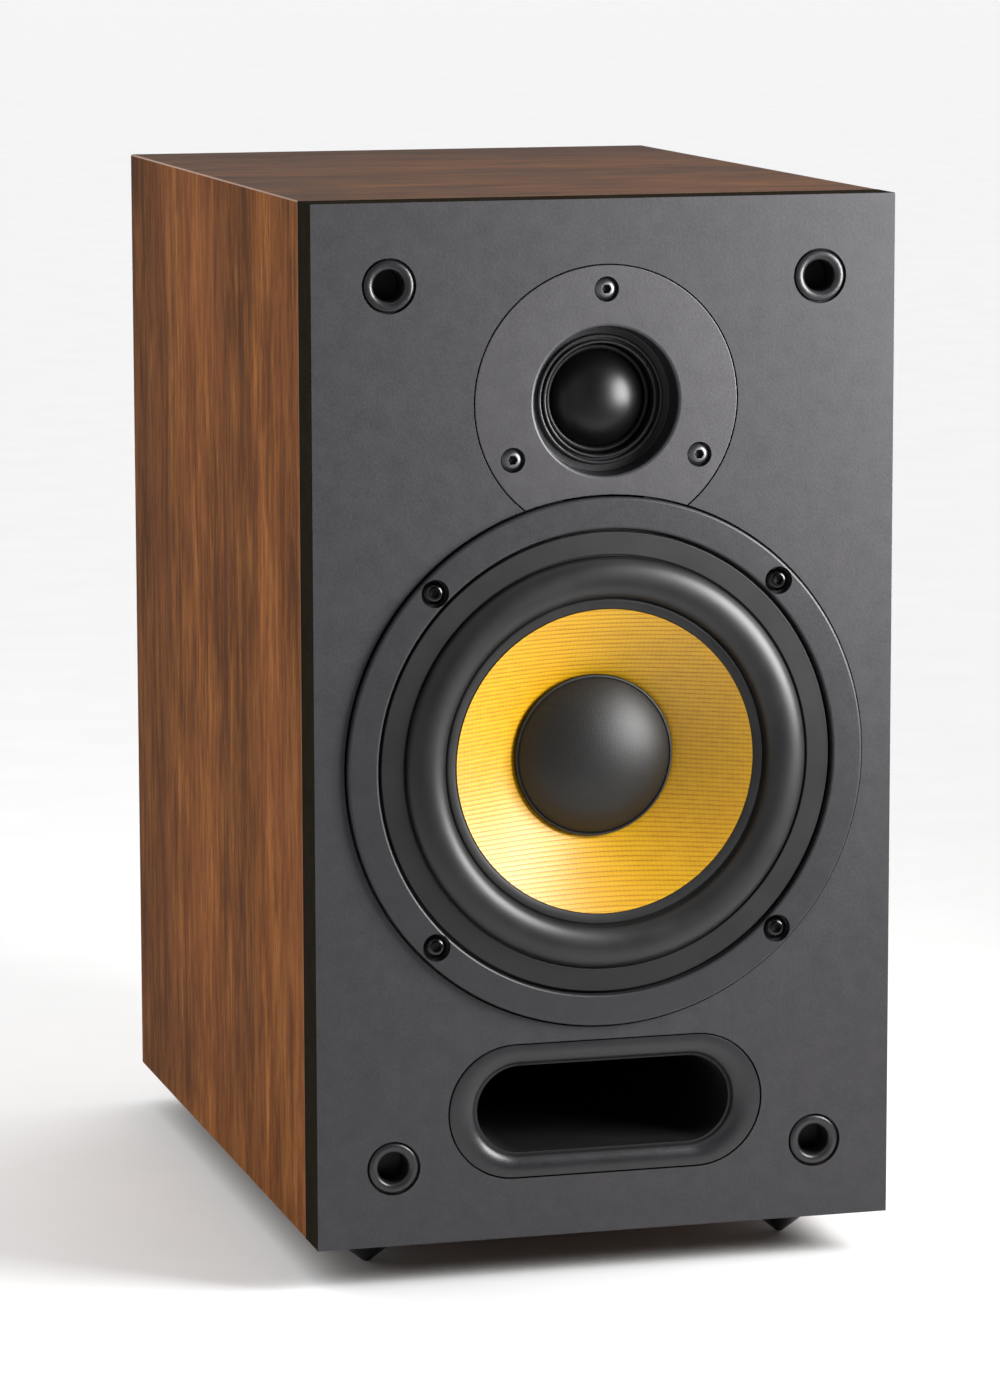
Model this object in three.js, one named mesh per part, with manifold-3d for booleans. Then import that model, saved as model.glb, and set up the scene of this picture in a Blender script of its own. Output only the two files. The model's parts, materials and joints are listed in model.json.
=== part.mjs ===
// A two-way bookshelf loudspeaker: veneered cabinet, dark baffle, woofer, dome tweeter, slot port,
// grille sockets, recessed binding posts with the crossover behind them, and four levelling spikes.
// Millimetres, +Z up, the baffle faces -Y. The origin is on the floor under the middle of the object.
import * as THREE from "three";
import { mergeVertices } from "three/addons/utils/BufferGeometryUtils.js";
import Module from "manifold-3d";

const wasm = await Module();
wasm.setup();

// ---- Driving dimensions -----------------------------------------------------------------------

// Cabinet. Depths are measured inwards from the baffle's front plane, heights from the underside.
const CABINET_WIDTH = 178;
const CABINET_HEIGHT = 310;
const CABINET_DEPTH = 260;
const PANEL = 15;
const BAFFLE = 16;
const SPIKE_HEIGHT = 13;
const SPIKE_SIDE = 66;
const SPIKE_FRONT_DEPTH = 34;
const SPIKE_REAR_DEPTH = 226;

// Woofer.
const WOOFER_HEIGHT = 143;
const TRIM_RADIUS = 79.4;
const TRIM_INNER_RADIUS = 69.65;
const TRIM_RISE = 2;
const SURROUND_RADIUS = 62;
const SURROUND_RISE = 4;
const CONE_RADIUS = 45.75;
const DUST_CAP_RADIUS = 24.5;
const COIL_RADIUS = 16;
const WOOFER_SCREW_CIRCLE = 74.6;

// Tweeter.
const TWEETER_HEIGHT = 250.5;
const FACEPLATE_RADIUS = 40.1;
const HORN_MOUTH_RADIUS = 22.5;
const THROAT_RADIUS = 16.6;
const DOME_RADIUS = 14.25;
const TWEETER_SCREW_CIRCLE = 33;

// Port, a slot with round ends.
const PORT_HEIGHT = 38.6;
const PORT_FLANGE = { halfWidth: 48.6, halfHeight: 20.25 };
const PORT_MOUTH = { halfWidth: 40.5, halfHeight: 14.5 };
const PORT_BORE = { halfWidth: 39, halfHeight: 13 };
const PORT_LENGTH = 105;
const DUCT_WALL = 2.5;

// Grille sockets.
const SOCKET_SIDE = 65.7;
const SOCKET_HEIGHTS = { upper: 285.9, lower: 23.7 };
const SOCKET_RADIUS = 7.75;
const SOCKET_HOLE_RADIUS = 4.75;

// Terminals on the rear panel.
const TERMINAL_HEIGHT = 90;
const CUP_FLANGE = { halfWidth: 50, halfHeight: 36 };
const CUP_POCKET = { halfWidth: 35, halfHeight: 22 };
const CUP_DEPTH = 18;
const CUP_WALL = 2.5;
const CUP_CORNER = 6;
const POCKET_CORNER = 4;
const CORNER_SEGMENTS = 4;
const POST_SPACING = 19.05;
const POST_OVERHANG = 4;

// Running clearance round a piece that drops into a hole, the wider gap round the trim ring, how far a
// cutter reaches past the piece it cuts, and facets on round pieces.
const GAP = 0.3;
const TRIM_GAP = 0.65;
const BEYOND = 5;
const FINE = 32;
const MEDIUM = 20;
const COARSE = 12;
const TINY = 8;

const HALF_WIDTH = CABINET_WIDTH / 2;
const FRONT_Y = -(CABINET_DEPTH + POST_OVERHANG - SURROUND_RISE) / 2;

// ---- Materials --------------------------------------------------------------------------------

function finish(color, roughness, metalness = 0) {
  return new THREE.MeshStandardMaterial({ color, roughness, metalness });
}

const WALNUT = finish(0x7a4e33, 0.55);
const BARE_BOARD = finish(0xa98d68, 0.9);
const BAFFLE_VINYL = finish(0x4b494d, 0.6);
const RING_PLASTIC = finish(0x2e2d30, 0.5);
const BLACK_PLASTIC = finish(0x141415, 0.45);
const RUBBER = finish(0x1b1b1d, 0.35);
const WOVEN_CONE = finish(0xd9a32e, 0.5);
const CAP_CLOTH = finish(0x232326, 0.7);
const DOME_SILK = finish(0x101012, 0.3);
const SPIDER_CLOTH = finish(0xb08a3c, 0.9);
const CAST_FRAME = finish(0x2a2b2d, 0.5, 0.8);
const PLATED_STEEL = finish(0xa9abad, 0.35, 1);
const FERRITE = finish(0x35363a, 0.7);
const BLACK_STEEL = finish(0x1d1d1f, 0.4, 0.9);
const COPPER = finish(0xb56a3a, 0.35, 1);
const GOLD_PLATE = finish(0xd2a34a, 0.25, 1);
const RED_PLASTIC = finish(0xa3161a, 0.35);
const FOAM = finish(0x4a4b50, 1);
const BOARD_GREEN = finish(0x2f5b3a, 0.5);
const CEMENT = finish(0xd8d5cc, 0.8);
const FILM = finish(0xc5a64a, 0.4);
const WIRE = finish(0x222224, 0.5);

// ---- Solids -----------------------------------------------------------------------------------

// A closed geometry as a solid that can be joined and cut.
function solid(geometry) {
  const source = geometry.index ? geometry.toNonIndexed() : geometry;
  const bare = new THREE.BufferGeometry().setAttribute("position", source.getAttribute("position"));
  const merged = mergeVertices(bare, 1e-3);
  const corners = merged.index.array;
  const triVerts = [];
  for (let i = 0; i < corners.length; i += 3) {
    const [a, b, c] = corners.slice(i, i + 3);
    if (a !== b && b !== c && c !== a) triVerts.push(a, b, c);
  }
  return new wasm.Manifold(
    new wasm.Mesh({
      numProp: 3,
      vertProperties: merged.attributes.position.array,
      triVerts: new Uint32Array(triVerts),
    }),
  );
}

function geometryOf(shape) {
  const { vertProperties, triVerts } = shape.getMesh();
  return new THREE.BufferGeometry()
    .setAttribute("position", new THREE.BufferAttribute(vertProperties, 3))
    .setIndex(new THREE.BufferAttribute(triVerts, 1));
}

// A box between two corners.
function block([x0, y0, z0], [x1, y1, z1]) {
  const box = new THREE.BoxGeometry(x1 - x0, y1 - y0, z1 - z0);
  return solid(box.translate((x0 + x1) / 2, (y0 + y1) / 2, (z0 + z1) / 2));
}

// A body turned about the Y axis, from [radius, depth] points in either order.
function turned(points, segments) {
  const closed = points[0][0] === 0 ? points : [...points, points[0]];
  let area = 0;
  points.forEach(([r, y], i) => {
    const [nextR, nextY] = points[(i + 1) % points.length];
    area += r * nextY - nextR * y;
  });
  const profile = closed.map(([r, y]) => new THREE.Vector2(r, y));
  return solid(new THREE.LatheGeometry(area > 0 ? profile : profile.reverse(), segments));
}

// A plain ring or, with no inner radius, a disc.
function ring(inner, outer, front, back, segments) {
  if (inner === 0) {
    return turned([[0, front], [outer, front], [outer, back], [0, back]], segments);
  }
  return turned([[inner, front], [outer, front], [outer, back], [inner, back]], segments);
}

function moved(shape, x, y, z) {
  return shape.translate([x, y, z]);
}

// A flat outline in X and Z made solid between two depths.
function plate(outline, front, back, curveSegments = 8) {
  const extruded = new THREE.ExtrudeGeometry(outline, {
    depth: back - front,
    bevelEnabled: false,
    curveSegments,
  });
  return solid(extruded.rotateX(Math.PI / 2).translate(0, back, 0));
}

function roundedRectangle(halfWidth, halfHeight, radius) {
  const x = halfWidth - radius;
  const y = halfHeight - radius;
  const outline = new THREE.Shape();
  outline.absarc(x, y, radius, 0, Math.PI / 2);
  outline.absarc(-x, y, radius, Math.PI / 2, Math.PI);
  outline.absarc(-x, -y, radius, Math.PI, 1.5 * Math.PI);
  outline.absarc(x, -y, radius, 1.5 * Math.PI, 2 * Math.PI);
  return outline;
}

// A slot with round ends, grown by a margin all round.
function stadium({ halfWidth, halfHeight }, margin = 0) {
  const radius = halfHeight + margin;
  const x = halfWidth - halfHeight;
  const outline = new THREE.Shape();
  outline.absarc(x, 0, radius, -Math.PI / 2, Math.PI / 2);
  outline.absarc(-x, 0, radius, Math.PI / 2, 1.5 * Math.PI);
  return outline;
}

// Points round the circle for a set of fasteners, as [x, z].
function around(radius, count, firstDegrees) {
  return Array.from({ length: count }, (_, i) => {
    const angle = THREE.MathUtils.degToRad(firstDegrees + (360 / count) * i);
    return [radius * Math.cos(angle), radius * Math.sin(angle)];
  });
}

// A screw along +Y with the top of its head at y = 0 and a round driver recess.
function screw({ headRadius, headHeight, shankRadius, length }) {
  const recess = headHeight * 0.6;
  const recessRadius = headRadius * 0.42;
  const edge = headHeight * 0.3;
  return turned(
    [
      [0, recess],
      [recessRadius, recess],
      [recessRadius, 0],
      [headRadius - edge, 0],
      [headRadius, edge],
      [headRadius, headHeight],
      [shankRadius, headHeight],
      [shankRadius, length - shankRadius],
      [0, length],
    ],
    TINY,
  );
}

// A shell of even depth under a spherical cap, apex towards the front.
function capShell(radius, base, rise, thickness, steps, segments) {
  const sphere = (radius * radius + rise * rise) / (2 * rise);
  const arc = (offset, end) =>
    Array.from({ length: steps + 1 }, (_, i) => {
      const r = (end * i) / steps;
      const height = Math.sqrt((sphere - offset) ** 2 - r * r) - (sphere - rise);
      return [r, base - height];
    });
  const outside = arc(0, radius);
  const inside = arc(thickness, radius - thickness).reverse();
  const lip = [[radius, base + thickness], [radius - thickness, base + thickness]];
  return turned([...outside, ...lip, ...inside], segments);
}

// ---- Assembly ---------------------------------------------------------------------------------

function add(group, name, shape, material) {
  const mesh = new THREE.Mesh(geometryOf(shape), material);
  mesh.name = name;
  group.add(mesh);
  return mesh;
}

function groupAt(parent, x, y, z) {
  const group = new THREE.Group();
  group.position.set(x, y, z);
  parent.add(group);
  return group;
}

const speaker = new THREE.Group();
const cabinet = groupAt(speaker, 0, FRONT_Y, SPIKE_HEIGHT);
const woofer = groupAt(cabinet, 0, 0, WOOFER_HEIGHT);
const tweeter = groupAt(cabinet, 0, 0, TWEETER_HEIGHT);
const port = groupAt(cabinet, 0, 0, PORT_HEIGHT);
const rear = groupAt(cabinet, 0, CABINET_DEPTH, TERMINAL_HEIGHT);

// ---- Fasteners and feet, shared with the holes that take them ---------------------------------

const WOOFER_SCREW = { headRadius: 3.5, headHeight: 2, shankRadius: 2, length: 15 };
const TWEETER_SCREW = { headRadius: 3.3, headHeight: 2, shankRadius: 1.75, length: 14 };
const CUP_SCREW = { headRadius: 3, headHeight: 1.75, shankRadius: 1.6, length: 14 };
const SCREW_WELL_DEPTH = 2.25;
const SPIKE_STUD = { radius: 3, length: 14 };

const wooferScrews = around(WOOFER_SCREW_CIRCLE, 4, 45);
const tweeterScrews = around(TWEETER_SCREW_CIRCLE, 3, 90);
const cupScrews = [
  [44, 30],
  [-44, 30],
  [-44, -30],
  [44, -30],
];
const spikePlaces = {
  front_left: [-SPIKE_SIDE, SPIKE_FRONT_DEPTH],
  front_right: [SPIKE_SIDE, SPIKE_FRONT_DEPTH],
  rear_left: [-SPIKE_SIDE, SPIKE_REAR_DEPTH],
  rear_right: [SPIKE_SIDE, SPIKE_REAR_DEPTH],
};
const socketPlaces = {
  upper_left: [-SOCKET_SIDE, SOCKET_HEIGHTS.upper],
  upper_right: [SOCKET_SIDE, SOCKET_HEIGHTS.upper],
  lower_left: [-SOCKET_SIDE, SOCKET_HEIGHTS.lower],
  lower_right: [SOCKET_SIDE, SOCKET_HEIGHTS.lower],
};

// ---- Cabinet ----------------------------------------------------------------------------------

// Depths of the rebates that the flanges drop into.
const WOOFER_REBATE = 4;
const TWEETER_REBATE = 4;
const PORT_REBATE = 3;
const SOCKET_REBATE = 1.5;
const WOOFER_CUTOUT_RADIUS = 65;
const TWEETER_CUTOUT_RADIUS = 31.75;
const SOCKET_BODY_RADIUS = 6.5;
const SOCKET_BODY_DEPTH = 12;

function frontBaffle() {
  const through = BAFFLE + BEYOND;
  const pilotDepth = BAFFLE - 1;
  let board = block([-HALF_WIDTH, 0, 0], [HALF_WIDTH, BAFFLE, CABINET_HEIGHT]);
  const cut = (shape, x, z) => {
    board = board.subtract(moved(shape, x, 0, z));
  };
  cut(ring(0, TRIM_RADIUS + TRIM_GAP, -BEYOND, WOOFER_REBATE, FINE), 0, WOOFER_HEIGHT);
  cut(ring(0, WOOFER_CUTOUT_RADIUS, -BEYOND, through, FINE), 0, WOOFER_HEIGHT);
  cut(ring(0, FACEPLATE_RADIUS + GAP, -BEYOND, TWEETER_REBATE, FINE), 0, TWEETER_HEIGHT);
  cut(ring(0, TWEETER_CUTOUT_RADIUS, -BEYOND, through, MEDIUM), 0, TWEETER_HEIGHT);
  cut(plate(stadium(PORT_FLANGE, GAP), -BEYOND, PORT_REBATE), 0, PORT_HEIGHT);
  cut(plate(stadium(PORT_BORE, DUCT_WALL + 0.5), -BEYOND, through), 0, PORT_HEIGHT);
  for (const [x, z] of Object.values(socketPlaces)) {
    cut(ring(0, SOCKET_RADIUS + GAP, -BEYOND, SOCKET_REBATE, COARSE), x, z);
    cut(ring(0, SOCKET_BODY_RADIUS + GAP, -BEYOND, SOCKET_BODY_DEPTH + 1, COARSE), x, z);
  }
  for (const [x, z] of wooferScrews) {
    cut(ring(0, WOOFER_SCREW.shankRadius + GAP, 0, pilotDepth, TINY), x, WOOFER_HEIGHT + z);
  }
  for (const [x, z] of tweeterScrews) {
    cut(ring(0, TWEETER_SCREW.shankRadius + GAP, 0, pilotDepth, TINY), x, TWEETER_HEIGHT + z);
  }
  return board;
}

// A cabinet wall as an outline in X and Z, with its long edges mitred to meet its neighbours.
function mitredPanel(corners) {
  const outline = new THREE.Shape(corners.map(([x, z]) => new THREE.Vector2(x, z)));
  return plate(outline, BAFFLE, CABINET_DEPTH);
}

function sidePanel(side) {
  const outer = side * HALF_WIDTH;
  const inner = side * (HALF_WIDTH - PANEL);
  return mitredPanel([
    [outer, 0],
    [outer, CABINET_HEIGHT],
    [inner, CABINET_HEIGHT - PANEL],
    [inner, PANEL],
  ]);
}

// The top or bottom panel, from the height of its outer face and that of its inner face.
function levelPanel(outerHeight, innerHeight) {
  const inner = HALF_WIDTH - PANEL;
  return mitredPanel([
    [-HALF_WIDTH, outerHeight],
    [HALF_WIDTH, outerHeight],
    [inner, innerHeight],
    [-inner, innerHeight],
  ]);
}

function bottomPanel() {
  let board = levelPanel(0, PANEL);
  const hole = upright(ring(0, SPIKE_STUD.radius + GAP, -BEYOND, PANEL + BEYOND, COARSE));
  for (const [x, y] of Object.values(spikePlaces)) {
    board = board.subtract(moved(hole, x, y, 0));
  }
  return board;
}

function rearPanel() {
  const front = CABINET_DEPTH - PANEL;
  let board = block(
    [-HALF_WIDTH + PANEL, front, PANEL],
    [HALF_WIDTH - PANEL, CABINET_DEPTH, CABINET_HEIGHT - PANEL],
  );
  const opening = roundedRectangle(
    CUP_POCKET.halfWidth + CUP_WALL + GAP,
    CUP_POCKET.halfHeight + CUP_WALL + GAP,
    CUP_CORNER,
  );
  const window = plate(opening, front - BEYOND, CABINET_DEPTH + BEYOND, CORNER_SEGMENTS);
  board = board.subtract(moved(window, 0, 0, TERMINAL_HEIGHT));
  for (const [x, z] of cupScrews) {
    const pilot = ring(0, CUP_SCREW.shankRadius + GAP, front + 2, CABINET_DEPTH + BEYOND, TINY);
    board = board.subtract(moved(pilot, x, 0, TERMINAL_HEIGHT + z));
  }
  return board;
}

// Turns a body made about Y so that it stands along Z.
function upright(shape) {
  return solid(geometryOf(shape).rotateX(Math.PI / 2));
}

function makeCabinet() {
  const inner = HALF_WIDTH - PANEL;
  const ceiling = CABINET_HEIGHT - PANEL;
  add(cabinet, "front_baffle", frontBaffle(), BAFFLE_VINYL);
  add(cabinet, "left_side_panel", sidePanel(-1), WALNUT);
  add(cabinet, "right_side_panel", sidePanel(1), WALNUT);
  add(cabinet, "top_panel", levelPanel(CABINET_HEIGHT, ceiling), WALNUT);
  add(cabinet, "bottom_panel", bottomPanel(), WALNUT);
  add(cabinet, "rear_panel", rearPanel(), WALNUT);
  const brace = { front: 130, back: 142, bottom: 105, top: 180 };
  add(
    cabinet,
    "cross_brace",
    block([-inner, brace.front, brace.bottom], [inner, brace.back, brace.top]),
    BARE_BOARD,
  );
  const foam = { thickness: 20, front: 60, back: 235, side: 68 };
  add(
    cabinet,
    "acoustic_foam",
    block([-foam.side, foam.front, ceiling - foam.thickness], [foam.side, foam.back, ceiling]),
    FOAM,
  );
}

// ---- Spikes -----------------------------------------------------------------------------------

function spike() {
  const bodyRadius = 11;
  const shoulder = 8;
  const tipRadius = 1;
  const edge = 0.75;
  return upright(
    turned(
      [
        [0, 0],
        [tipRadius, 0],
        [bodyRadius, shoulder],
        [bodyRadius, SPIKE_HEIGHT - edge - GAP],
        [bodyRadius - edge, SPIKE_HEIGHT - GAP],
        [SPIKE_STUD.radius, SPIKE_HEIGHT - GAP],
        [SPIKE_STUD.radius, SPIKE_HEIGHT + SPIKE_STUD.length],
        [0, SPIKE_HEIGHT + SPIKE_STUD.length],
      ],
      COARSE,
    ),
  );
}

function makeSpikes() {
  for (const [place, [x, depth]] of Object.entries(spikePlaces)) {
    const foot = groupAt(speaker, x, FRONT_Y + depth, 0);
    add(foot, "spike_" + place, spike(), BLACK_STEEL);
  }
}

// ---- Woofer -----------------------------------------------------------------------------------

const FLANGE_FACE = 0.25;
const SURROUND_THICKNESS = 1;
const SURROUND_INNER_RADIUS = CONE_RADIUS + 0.25;
const SURROUND_OUTER_RADIUS = 67.75;
const ROLL_START = 49.5;
const ROLL_END = SURROUND_RADIUS - 0.25;
const NECK_RADIUS = COIL_RADIUS + 0.5;
const NECK_DEPTH = 20;
const SPIDER_RADIUS = 41.5;
const SPIDER_DEPTH = 28;
const SPIDER_THICKNESS = 0.75;
const MOTOR_RADIUS = 38;
const MAGNET_RADII = { inner: 22, outer: 45 };
const TOP_PLATE_DEPTH = 41;
const MAGNET_DEPTH = 46;
const BACK_PLATE_DEPTH = 62;
const MOTOR_DEPTH = 67;

function trimRing() {
  const innerEdge = 0.5;
  const outerEdge = 1;
  let trim = turned(
    [
      [TRIM_INNER_RADIUS, -TRIM_RISE + innerEdge],
      [TRIM_INNER_RADIUS + innerEdge, -TRIM_RISE],
      [TRIM_RADIUS - outerEdge, -TRIM_RISE],
      [TRIM_RADIUS, -TRIM_RISE + outerEdge],
      [TRIM_RADIUS, FLANGE_FACE],
      [TRIM_INNER_RADIUS, FLANGE_FACE],
    ],
    FINE,
  );
  const screwWell = ring(0, WOOFER_SCREW.headRadius + 0.7, -BEYOND, BEYOND, COARSE);
  for (const [x, z] of wooferScrews) {
    trim = trim.subtract(moved(screwWell, x, 0, z));
  }
  return trim;
}

// A cast frame: a flange that the surround sits in, ribs between six windows, and the spider's seat.
function basket() {
  const lip = SURROUND_OUTER_RADIUS + 0.25;
  const flange = { radius: 79, inner: 60.5, back: 63.5 };
  const back = { radius: 44.5, start: 30, hole: 28, floor: TOP_PLATE_DEPTH - 3 };
  const seat = { inner: 36.5, outer: SPIDER_RADIUS + 0.5 };
  let frame = turned(
    [
      [flange.inner, FLANGE_FACE + SURROUND_THICKNESS],
      [lip, FLANGE_FACE + SURROUND_THICKNESS],
      [lip, FLANGE_FACE],
      [flange.radius, FLANGE_FACE],
      [flange.radius, WOOFER_REBATE],
      [flange.back, WOOFER_REBATE],
      [back.radius, back.start],
      [back.radius, TOP_PLATE_DEPTH],
      [back.hole, TOP_PLATE_DEPTH],
      [back.hole, back.floor],
      [seat.inner, back.floor],
      [seat.inner, SPIDER_DEPTH],
      [seat.outer, SPIDER_DEPTH],
      [flange.inner, 3],
    ],
    FINE,
  );
  const windows = { count: 6, halfWidth: 13, front: 8, back: 26, inner: 40, outer: 70 };
  const gap = block(
    [-windows.halfWidth, windows.front, windows.inner],
    [windows.halfWidth, windows.back, windows.outer],
  );
  for (let i = 0; i < windows.count; i++) {
    frame = frame.subtract(gap.rotate([0, (360 / windows.count) * i, 0]));
  }
  const hole = ring(0, WOOFER_SCREW.shankRadius + GAP, -1, WOOFER_REBATE + 1, TINY);
  for (const [x, z] of wooferScrews) {
    frame = frame.subtract(moved(hole, x, 0, z));
  }
  return frame;
}

// A rubber half roll between two flat flanges.
function surround() {
  const steps = 6;
  const front = FLANGE_FACE;
  const back = front + SURROUND_THICKNESS;
  const middle = (ROLL_START + ROLL_END) / 2;
  const halfRoll = (ROLL_END - ROLL_START) / 2;
  const roll = (shrink) =>
    Array.from({ length: steps + 1 }, (_, i) => {
      const angle = Math.PI - (Math.PI * i) / steps;
      const rise = SURROUND_RISE + front;
      const r = middle + (halfRoll - shrink) * Math.cos(angle);
      return [r, front + shrink - rise * Math.sin(angle)];
    });
  const inside = roll(SURROUND_THICKNESS).reverse();
  return turned(
    [
      [SURROUND_INNER_RADIUS, front],
      ...roll(0),
      [SURROUND_OUTER_RADIUS, front],
      [SURROUND_OUTER_RADIUS, back],
      ...inside,
      [SURROUND_INNER_RADIUS, back],
    ],
    FINE,
  );
}

function cone() {
  const thickness = 0.75;
  const edgeDepth = 0.75;
  return turned(
    [
      [CONE_RADIUS, edgeDepth],
      [CONE_RADIUS, edgeDepth + thickness],
      [NECK_RADIUS, NECK_DEPTH + thickness],
      [NECK_RADIUS, NECK_DEPTH],
    ],
    FINE,
  );
}

// Coil former with its winding round the lower end.
function wooferCoil() {
  const former = { inner: COIL_RADIUS - 0.25, outer: COIL_RADIUS + 0.25, front: NECK_DEPTH - 0.5 };
  const winding = { radius: COIL_RADIUS + 1, front: 37.5, back: 49.5 };
  return turned(
    [
      [former.inner, former.front],
      [former.outer, former.front],
      [former.outer, winding.front],
      [winding.radius, winding.front],
      [winding.radius, winding.back],
      [former.inner, winding.back],
    ],
    MEDIUM,
  );
}

// Corrugated centring disc.
function spider() {
  const outer = 38;
  const folds = 5;
  const foldHeight = 1.5;
  const front = SPIDER_DEPTH - SPIDER_THICKNESS;
  const wave = Array.from({ length: folds + 1 }, (_, i) => [
    NECK_RADIUS + ((outer - NECK_RADIUS) * i) / folds,
    front - (i % 2 ? foldHeight : 0),
  ]);
  const underside = wave.map(([r, y]) => [r, y + SPIDER_THICKNESS]).reverse();
  const flange = [[SPIDER_RADIUS, front], [SPIDER_RADIUS, SPIDER_DEPTH]];
  return turned([...wave, ...flange, ...underside], MEDIUM);
}

function wooferYoke() {
  const vent = 4;
  const pole = { radius: COIL_RADIUS - 0.75, front: TOP_PLATE_DEPTH - 1 };
  return turned(
    [
      [vent, pole.front],
      [pole.radius, pole.front],
      [pole.radius, BACK_PLATE_DEPTH],
      [MOTOR_RADIUS, BACK_PLATE_DEPTH],
      [MOTOR_RADIUS, MOTOR_DEPTH],
      [vent, MOTOR_DEPTH],
    ],
    MEDIUM,
  );
}

function makeWoofer() {
  const gasket = ring(SURROUND_RADIUS, TRIM_INNER_RADIUS - 0.25, -0.75, FLANGE_FACE, FINE);
  const cap = { base: 13.5, rise: 10, thickness: 0.75, steps: 4 };
  const dustCap = capShell(DUST_CAP_RADIUS, cap.base, cap.rise, cap.thickness, cap.steps, MEDIUM);
  const topPlate = ring(COIL_RADIUS + 1.75, MOTOR_RADIUS, TOP_PLATE_DEPTH, MAGNET_DEPTH, MEDIUM);
  const { inner, outer } = MAGNET_RADII;
  add(woofer, "woofer_trim_ring", trimRing(), RING_PLASTIC);
  add(woofer, "woofer_gasket", gasket, RING_PLASTIC);
  add(woofer, "woofer_basket", basket(), CAST_FRAME);
  add(woofer, "woofer_surround", surround(), RUBBER);
  add(woofer, "woofer_cone", cone(), WOVEN_CONE);
  add(woofer, "woofer_dust_cap", dustCap, CAP_CLOTH);
  add(woofer, "woofer_voice_coil", wooferCoil(), COPPER);
  add(woofer, "woofer_spider", spider(), SPIDER_CLOTH);
  add(woofer, "woofer_top_plate", topPlate, PLATED_STEEL);
  add(woofer, "woofer_magnet", ring(inner, outer, MAGNET_DEPTH, BACK_PLATE_DEPTH, MEDIUM), FERRITE);
  add(woofer, "woofer_back_plate", wooferYoke(), PLATED_STEEL);
  const screwTop = FLANGE_FACE - WOOFER_SCREW.headHeight;
  wooferScrews.forEach(([x, z], i) => {
    add(woofer, "woofer_screw_" + (i + 1), moved(screw(WOOFER_SCREW), x, screwTop, z), BLACK_STEEL);
  });
}

// ---- Tweeter ----------------------------------------------------------------------------------

const FACEPLATE_BACK = 11;
const FACEPLATE_BACK_RADIUS = 30;
const TWEETER_PLATE_RADIUS = 29;
const TWEETER_PLATE_DEPTH = 12.5;
const TWEETER_MAGNET_DEPTH = 15.5;
const TWEETER_BACK_DEPTH = 25.5;
const TWEETER_FLANGE_RADIUS = 20;

// A round plate whose horn narrows in two steps down to the throat.
function faceplate() {
  const horn = [
    [THROAT_RADIUS, 9],
    [18.5, 8],
    [19, 5],
    [20.5, 1.5],
    [HORN_MOUTH_RADIUS, 0],
  ];
  let face = turned(
    [
      ...horn,
      [FACEPLATE_RADIUS, 0],
      [FACEPLATE_RADIUS, TWEETER_REBATE],
      [FACEPLATE_BACK_RADIUS, TWEETER_REBATE],
      [FACEPLATE_BACK_RADIUS, FACEPLATE_BACK],
      [THROAT_RADIUS, FACEPLATE_BACK],
    ],
    FINE,
  );
  const wooferEdge = ring(0, TRIM_RADIUS + TRIM_GAP, -BEYOND, FACEPLATE_BACK + BEYOND, FINE);
  face = face.subtract(moved(wooferEdge, 0, 0, WOOFER_HEIGHT - TWEETER_HEIGHT));
  const well = ring(0, TWEETER_SCREW.headRadius + 0.45, -BEYOND, SCREW_WELL_DEPTH, COARSE);
  const hole = ring(0, TWEETER_SCREW.shankRadius + GAP, 0, TWEETER_REBATE + 1, TINY);
  for (const [x, z] of tweeterScrews) {
    face = face.subtract(moved(well, x, 0, z)).subtract(moved(hole, x, 0, z));
  }
  return face;
}

// A small half roll in the same thin silk as the dome, with a flange behind the faceplate.
function tweeterSurround() {
  const thickness = 0.4;
  const inner = DOME_RADIUS + 0.2;
  const crest = { radius: 15.5, depth: 9.75 };
  const end = 16.5;
  const flangeBack = FACEPLATE_BACK + 0.5;
  return turned(
    [
      [inner, FACEPLATE_BACK],
      [crest.radius, crest.depth],
      [end, FACEPLATE_BACK],
      [TWEETER_FLANGE_RADIUS, FACEPLATE_BACK],
      [TWEETER_FLANGE_RADIUS, flangeBack],
      [end - 0.2, flangeBack],
      [crest.radius, crest.depth + thickness],
      [inner, FACEPLATE_BACK + thickness],
    ],
    MEDIUM,
  );
}

function tweeterTopPlate() {
  const gapRadius = 14.25;
  const step = TWEETER_FLANGE_RADIUS + 0.5;
  return turned(
    [
      [gapRadius, TWEETER_PLATE_DEPTH],
      [step, TWEETER_PLATE_DEPTH],
      [step, FACEPLATE_BACK],
      [TWEETER_PLATE_RADIUS, FACEPLATE_BACK],
      [TWEETER_PLATE_RADIUS, TWEETER_MAGNET_DEPTH],
      [gapRadius, TWEETER_MAGNET_DEPTH],
    ],
    MEDIUM,
  );
}

function tweeterYoke() {
  const pole = 12.4;
  const back = TWEETER_BACK_DEPTH + 4;
  return turned(
    [
      [0, TWEETER_PLATE_DEPTH],
      [pole, TWEETER_PLATE_DEPTH],
      [pole, TWEETER_BACK_DEPTH],
      [TWEETER_PLATE_RADIUS, TWEETER_BACK_DEPTH],
      [TWEETER_PLATE_RADIUS, back],
      [0, back],
    ],
    MEDIUM,
  );
}

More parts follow.
